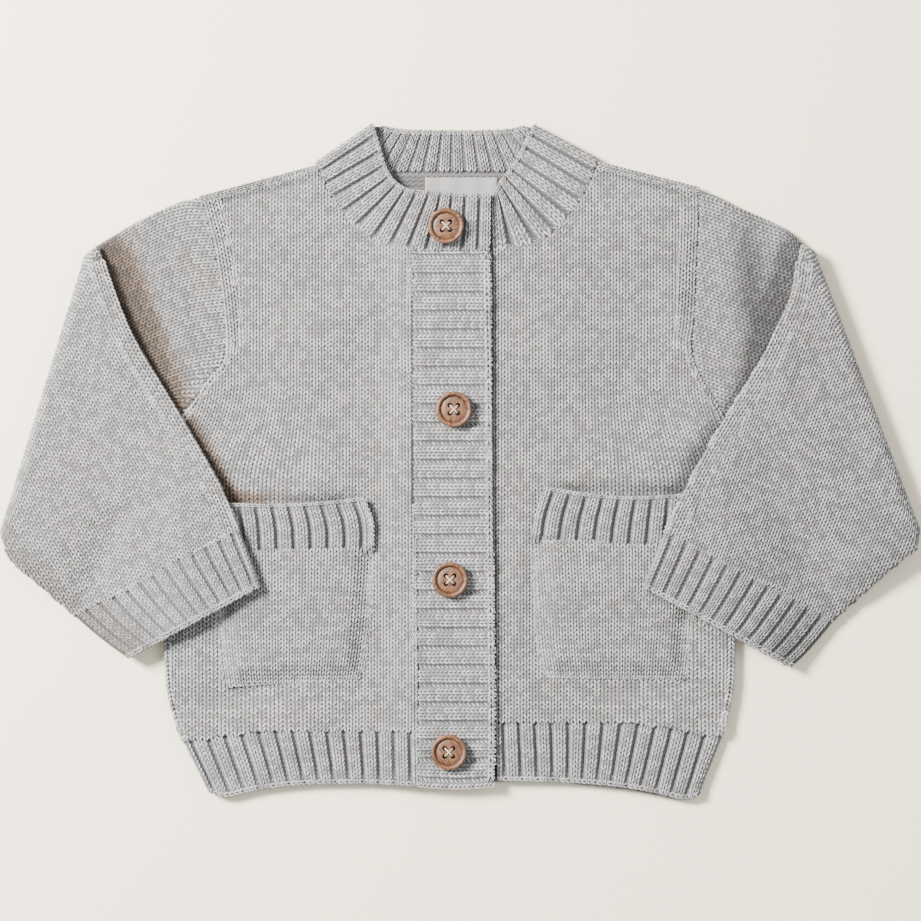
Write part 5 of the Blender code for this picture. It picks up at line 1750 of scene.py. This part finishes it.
HOLE_R = 1.0
HOLE_PITCH = 3.4
PEG_LONG = 12
BUTTON_STEPS = 72
DARK_RING_R = 5.45
BUTTON_SECTION = [
    (0.0, 2.1), (3.0, 2.12), (4.7, 2.12), (5.05, 1.95), (5.35, 1.85), (5.6, 2.1), (5.95, 2.7), (6.35, 2.96),
    (6.75, 3.0), (7.15, 2.86),
    (7.4, 2.5), (7.5, 2.0), (7.47, 1.4), (7.3, 0.9), (6.9, 0.4), (6.2, 0.1), (5.4, 0.0), (0.0, 0.0),
]
wood, wires, shader = new_look("turned_wood")
chart = wires.node("ShaderNodeUVMap", uv_map="Stitch")
stretch = wires.node("ShaderNodeMapping", {"Vector": chart.outputs["UV"], "Scale": (0.16, 1.5, 1.0)})
grain = wires.node("ShaderNodeTexNoise", {
    "Vector": stretch.outputs[0], "Scale": 1.3, "Detail": 5.0, "Distortion": 0.5,
})
line = wires.node("ShaderNodeTexNoise", {"Vector": stretch.outputs[0], "Scale": 5.0, "Detail": 3.0})
WOOD_LIGHT, WOOD_DARK = (0.15, 0.064, 0.025, 1), (0.05, 0.018, 0.007, 1)
colour = wires.blend("MIX", wires.step(grain.outputs["Fac"], 0.42, 0.6), WOOD_LIGHT, WOOD_DARK)
colour = wires.blend("MULTIPLY", wires.step(line.outputs["Fac"], 0.5, 0.66, 0.0, 0.8), colour, (0.32, 0.22, 0.17, 1))
ring = wires.node("ShaderNodeAttribute", attribute_name="ring").outputs["Fac"]
colour = wires.blend("MULTIPLY", ring, colour, (0.25, 0.19, 0.15, 1))
wires.feed(shader.inputs["Base Color"], colour)
wires.feed(shader.inputs["Roughness"], wires.step(line.outputs["Fac"], 0.3, 0.8, 0.42, 0.6))
wood_bump = wires.node("ShaderNodeBump", {"Height": line.outputs["Fac"], "Strength": 0.15, "Distance": 0.0002})
wires.feed(shader.inputs["Normal"], wood_bump.outputs["Normal"])
GRAIN_TURNS = (0.4, 1.3, 0.9, 2.2)

THREAD = strand_look("cream_thread")
THREAD_R = 0.17
wires = Wiring(THREAD.node_tree)
place = wires.node("ShaderNodeTexCoord").outputs["Object"]
fibres = wires.node("ShaderNodeTexNoise", {"Scale": 2500.0, "Vector": place}).outputs["Fac"]
wires.feed(THREAD.node_tree.nodes["Principled BSDF"].inputs["Base Color"], wires.blend(
    "MIX", fibres, (0.50, 0.40, 0.32, 1), (0.28, 0.21, 0.16, 1)))


def sew_on(node, centre):
    """Two strands of thread that cross between opposite holes, each with a smaller one beside it."""
    work = bmesh.new()
    half = HOLE_PITCH / 2
    for turn, (sx, sy), high in ((0, (1, 1), 2.45), (1, (1, -1), 2.75)):
        for shift in (-0.14, 0.16):
            line = []
            for t in np.linspace(-1, 1, 13):
                rise = high if abs(t) < 0.75 else high - 1.9 * ((abs(t) - 0.75) / 0.25) ** 1.5
                rise -= 0.35 * (abs(t) / 0.75) ** 2 if abs(t) < 0.75 else 0.35
                reach = np.sign(t) * min(abs(t) * 1.08, 1.0)
                line.append((sx * half * reach - sy * shift * 0.7, sy * half * reach + sx * shift * 0.7, rise))
            line = np.array(line) + centre / MM
            rings = []
            for k, point in enumerate(line):
                ahead = unit(line[min(k + 1, 12)] - line[max(k - 1, 0)])
                side = unit(np.cross(ahead, (0.01, 0.02, 1.0)))
                up = np.cross(side, ahead)
                rings.append([
                    work.verts.new((point + (side * math.cos(a) + up * math.sin(a)) * THREAD_R) * MM)
                    for a in np.linspace(0, 2 * math.pi, 9)[:-1]
                ])
            for low_ring, high_ring in zip(rings, rings[1:]):
                for a in range(8):
                    work.faces.new((low_ring[a], low_ring[(a + 1) % 8], high_ring[(a + 1) % 8], high_ring[a]))
            work.faces.new(rings[0][::-1])
            work.faces.new(rings[-1])
    bmesh.ops.recalc_face_normals(work, faces=work.faces)
    mesh = bpy.data.meshes.new(node + "_thread")
    work.to_mesh(mesh)
    work.free()
    mesh.shade_smooth()
    mesh.materials.append(THREAD)
    made = add_object(node + "_thread", mesh)
    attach(made, "root")


def peg_cutter():
    """Four pegs that cut the holes."""
    work = bmesh.new()
    for dx in (-0.5, 0.5):
        for dy in (-0.5, 0.5):
            peg = bmesh.ops.create_cone(
                work, cap_ends=True, segments=20, radius1=HOLE_R * MM, radius2=HOLE_R * MM, depth=PEG_LONG * MM)
            bmesh.ops.translate(work, verts=peg["verts"], vec=(dx * HOLE_PITCH * MM, dy * HOLE_PITCH * MM, 0))
    mesh = bpy.data.meshes.new("pegs")
    work.to_mesh(mesh)
    work.free()
    return add_object("pegs", mesh)


def turn_button(node, centre):
    """The wood: its section turned about the middle, with the holes cut."""
    mesh = bpy.data.meshes.new(node + "_wood")
    outline = [(r * MM, 0.0, z * MM) for r, z in BUTTON_SECTION]
    mesh.from_pydata(outline, [(i, i + 1) for i in range(len(outline) - 1)], [])
    made = add_object(node + "_wood", mesh)
    turned = made.modifiers.new("turned", "SCREW")
    turned.steps = turned.render_steps = BUTTON_STEPS
    turned.use_merge_vertices = True
    turned.merge_threshold = 0.00001
    cutter = peg_cutter()
    holes = made.modifiers.new("holes", "BOOLEAN")
    holes.object = cutter
    holes.operation = "DIFFERENCE"
    settle_mesh(made)
    bpy.data.objects.remove(cutter)
    made.data.transform(Matrix.Translation(centre))
    made.data.materials.clear()
    made.data.materials.append(wood)
    made.data.shade_smooth()
    made.data.set_sharp_from_angle(angle=math.radians(50))
    return made


def add_grain(mesh, centre, turn, number):
    """Lays the grain across the button at its own angle, and darkens a ring inside the rim."""
    flat = np.array([v.co for v in mesh.vertices]) / MM - centre / MM
    c, s = math.cos(turn), math.sin(turn)
    along_grain = flat[:, 0] * c + flat[:, 1] * s + 40 * number
    spun = np.column_stack([along_grain, -flat[:, 0] * s + flat[:, 1] * c + flat[:, 2]])
    radius = np.hypot(flat[:, 0], flat[:, 1])
    dark_ring = 0.85 * np.exp(-((radius - DARK_RING_R) / 0.3) ** 2) * (flat[:, 2] > 1.0)
    mesh.attributes.new("ring", "FLOAT", "POINT").data.foreach_set("value", dark_ring.astype(np.float32))
    loops = np.zeros(len(mesh.loops), np.int32)
    mesh.loops.foreach_get("vertex_index", loops)
    mesh.uv_layers.new(name="Stitch").uv.foreach_set("vector", spun[loops].astype(np.float32).ravel())


for number, grain_turn in enumerate(GRAIN_TURNS, 1):
    node = f"button_{number}"
    low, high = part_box(node)
    centre = np.array(((low.x + high.x) / 2, (low.y + high.y) / 2, low.z))
    button = turn_button(node, centre)
    add_grain(button.data, centre, grain_turn, number)
    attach(button, "root")
    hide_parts(node)
    sew_on(node, centre)

# ------------------------------------------------------------------ the studio
# A pale floor under soft light from above, and a camera looking straight down.

FLOOR_HALF, FLOOR_Z = 3, -0.0006
floor_mesh = bpy.data.meshes.new("floor")
corners = [(x * FLOOR_HALF, y * FLOOR_HALF, FLOOR_Z) for x, y in ((-1, -1), (1, -1), (1, 1), (-1, 1))]
floor_mesh.from_pydata(corners, [], [(0, 1, 2, 3)])
floor = add_object("floor", floor_mesh)
floor_mesh.materials.append(new_look("pale_floor", Base_Color=(0.78, 0.712, 0.545, 1), Roughness=0.9)[0])

world = bpy.data.worlds.new("studio")
world.use_nodes = True
world.node_tree.nodes["Background"].inputs["Color"].default_value = (1.0, 1.0, 1.0, 1)
world.node_tree.nodes["Background"].inputs["Strength"].default_value = 0.9
bpy.context.scene.world = world


def softbox(name, place, size, power, colour):
    """A square lamp that looks at the middle of the floor."""
    lamp = bpy.data.lights.new(name, "AREA")
    lamp.size = size
    lamp.energy = power
    lamp.color = colour
    made = add_object(name, lamp)
    made.location = place
    made.rotation_mode = "QUATERNION"
    made.rotation_quaternion = made.location.to_track_quat("Z", "Y")


softbox("key", (-0.95, 0.5, 0.9), 0.4, 125.0, (1.0, 0.98, 0.95))
softbox("fill", (1.1, 0.2, 1.2), 0.9, 12.0, (0.93, 0.97, 1.0))

CAMERA_PLACE = (0.00012, 0.00024, 1.4)
PICTURE_WIDTH = 0.3868
SENSOR = 36.0
lens = bpy.data.cameras.new("camera")
lens.sensor_width = SENSOR
lens.lens = SENSOR * CAMERA_PLACE[2] / PICTURE_WIDTH
lens.clip_start = 0.05
eye = add_object("camera", lens)
eye.location = CAMERA_PLACE
bpy.context.scene.camera = eye
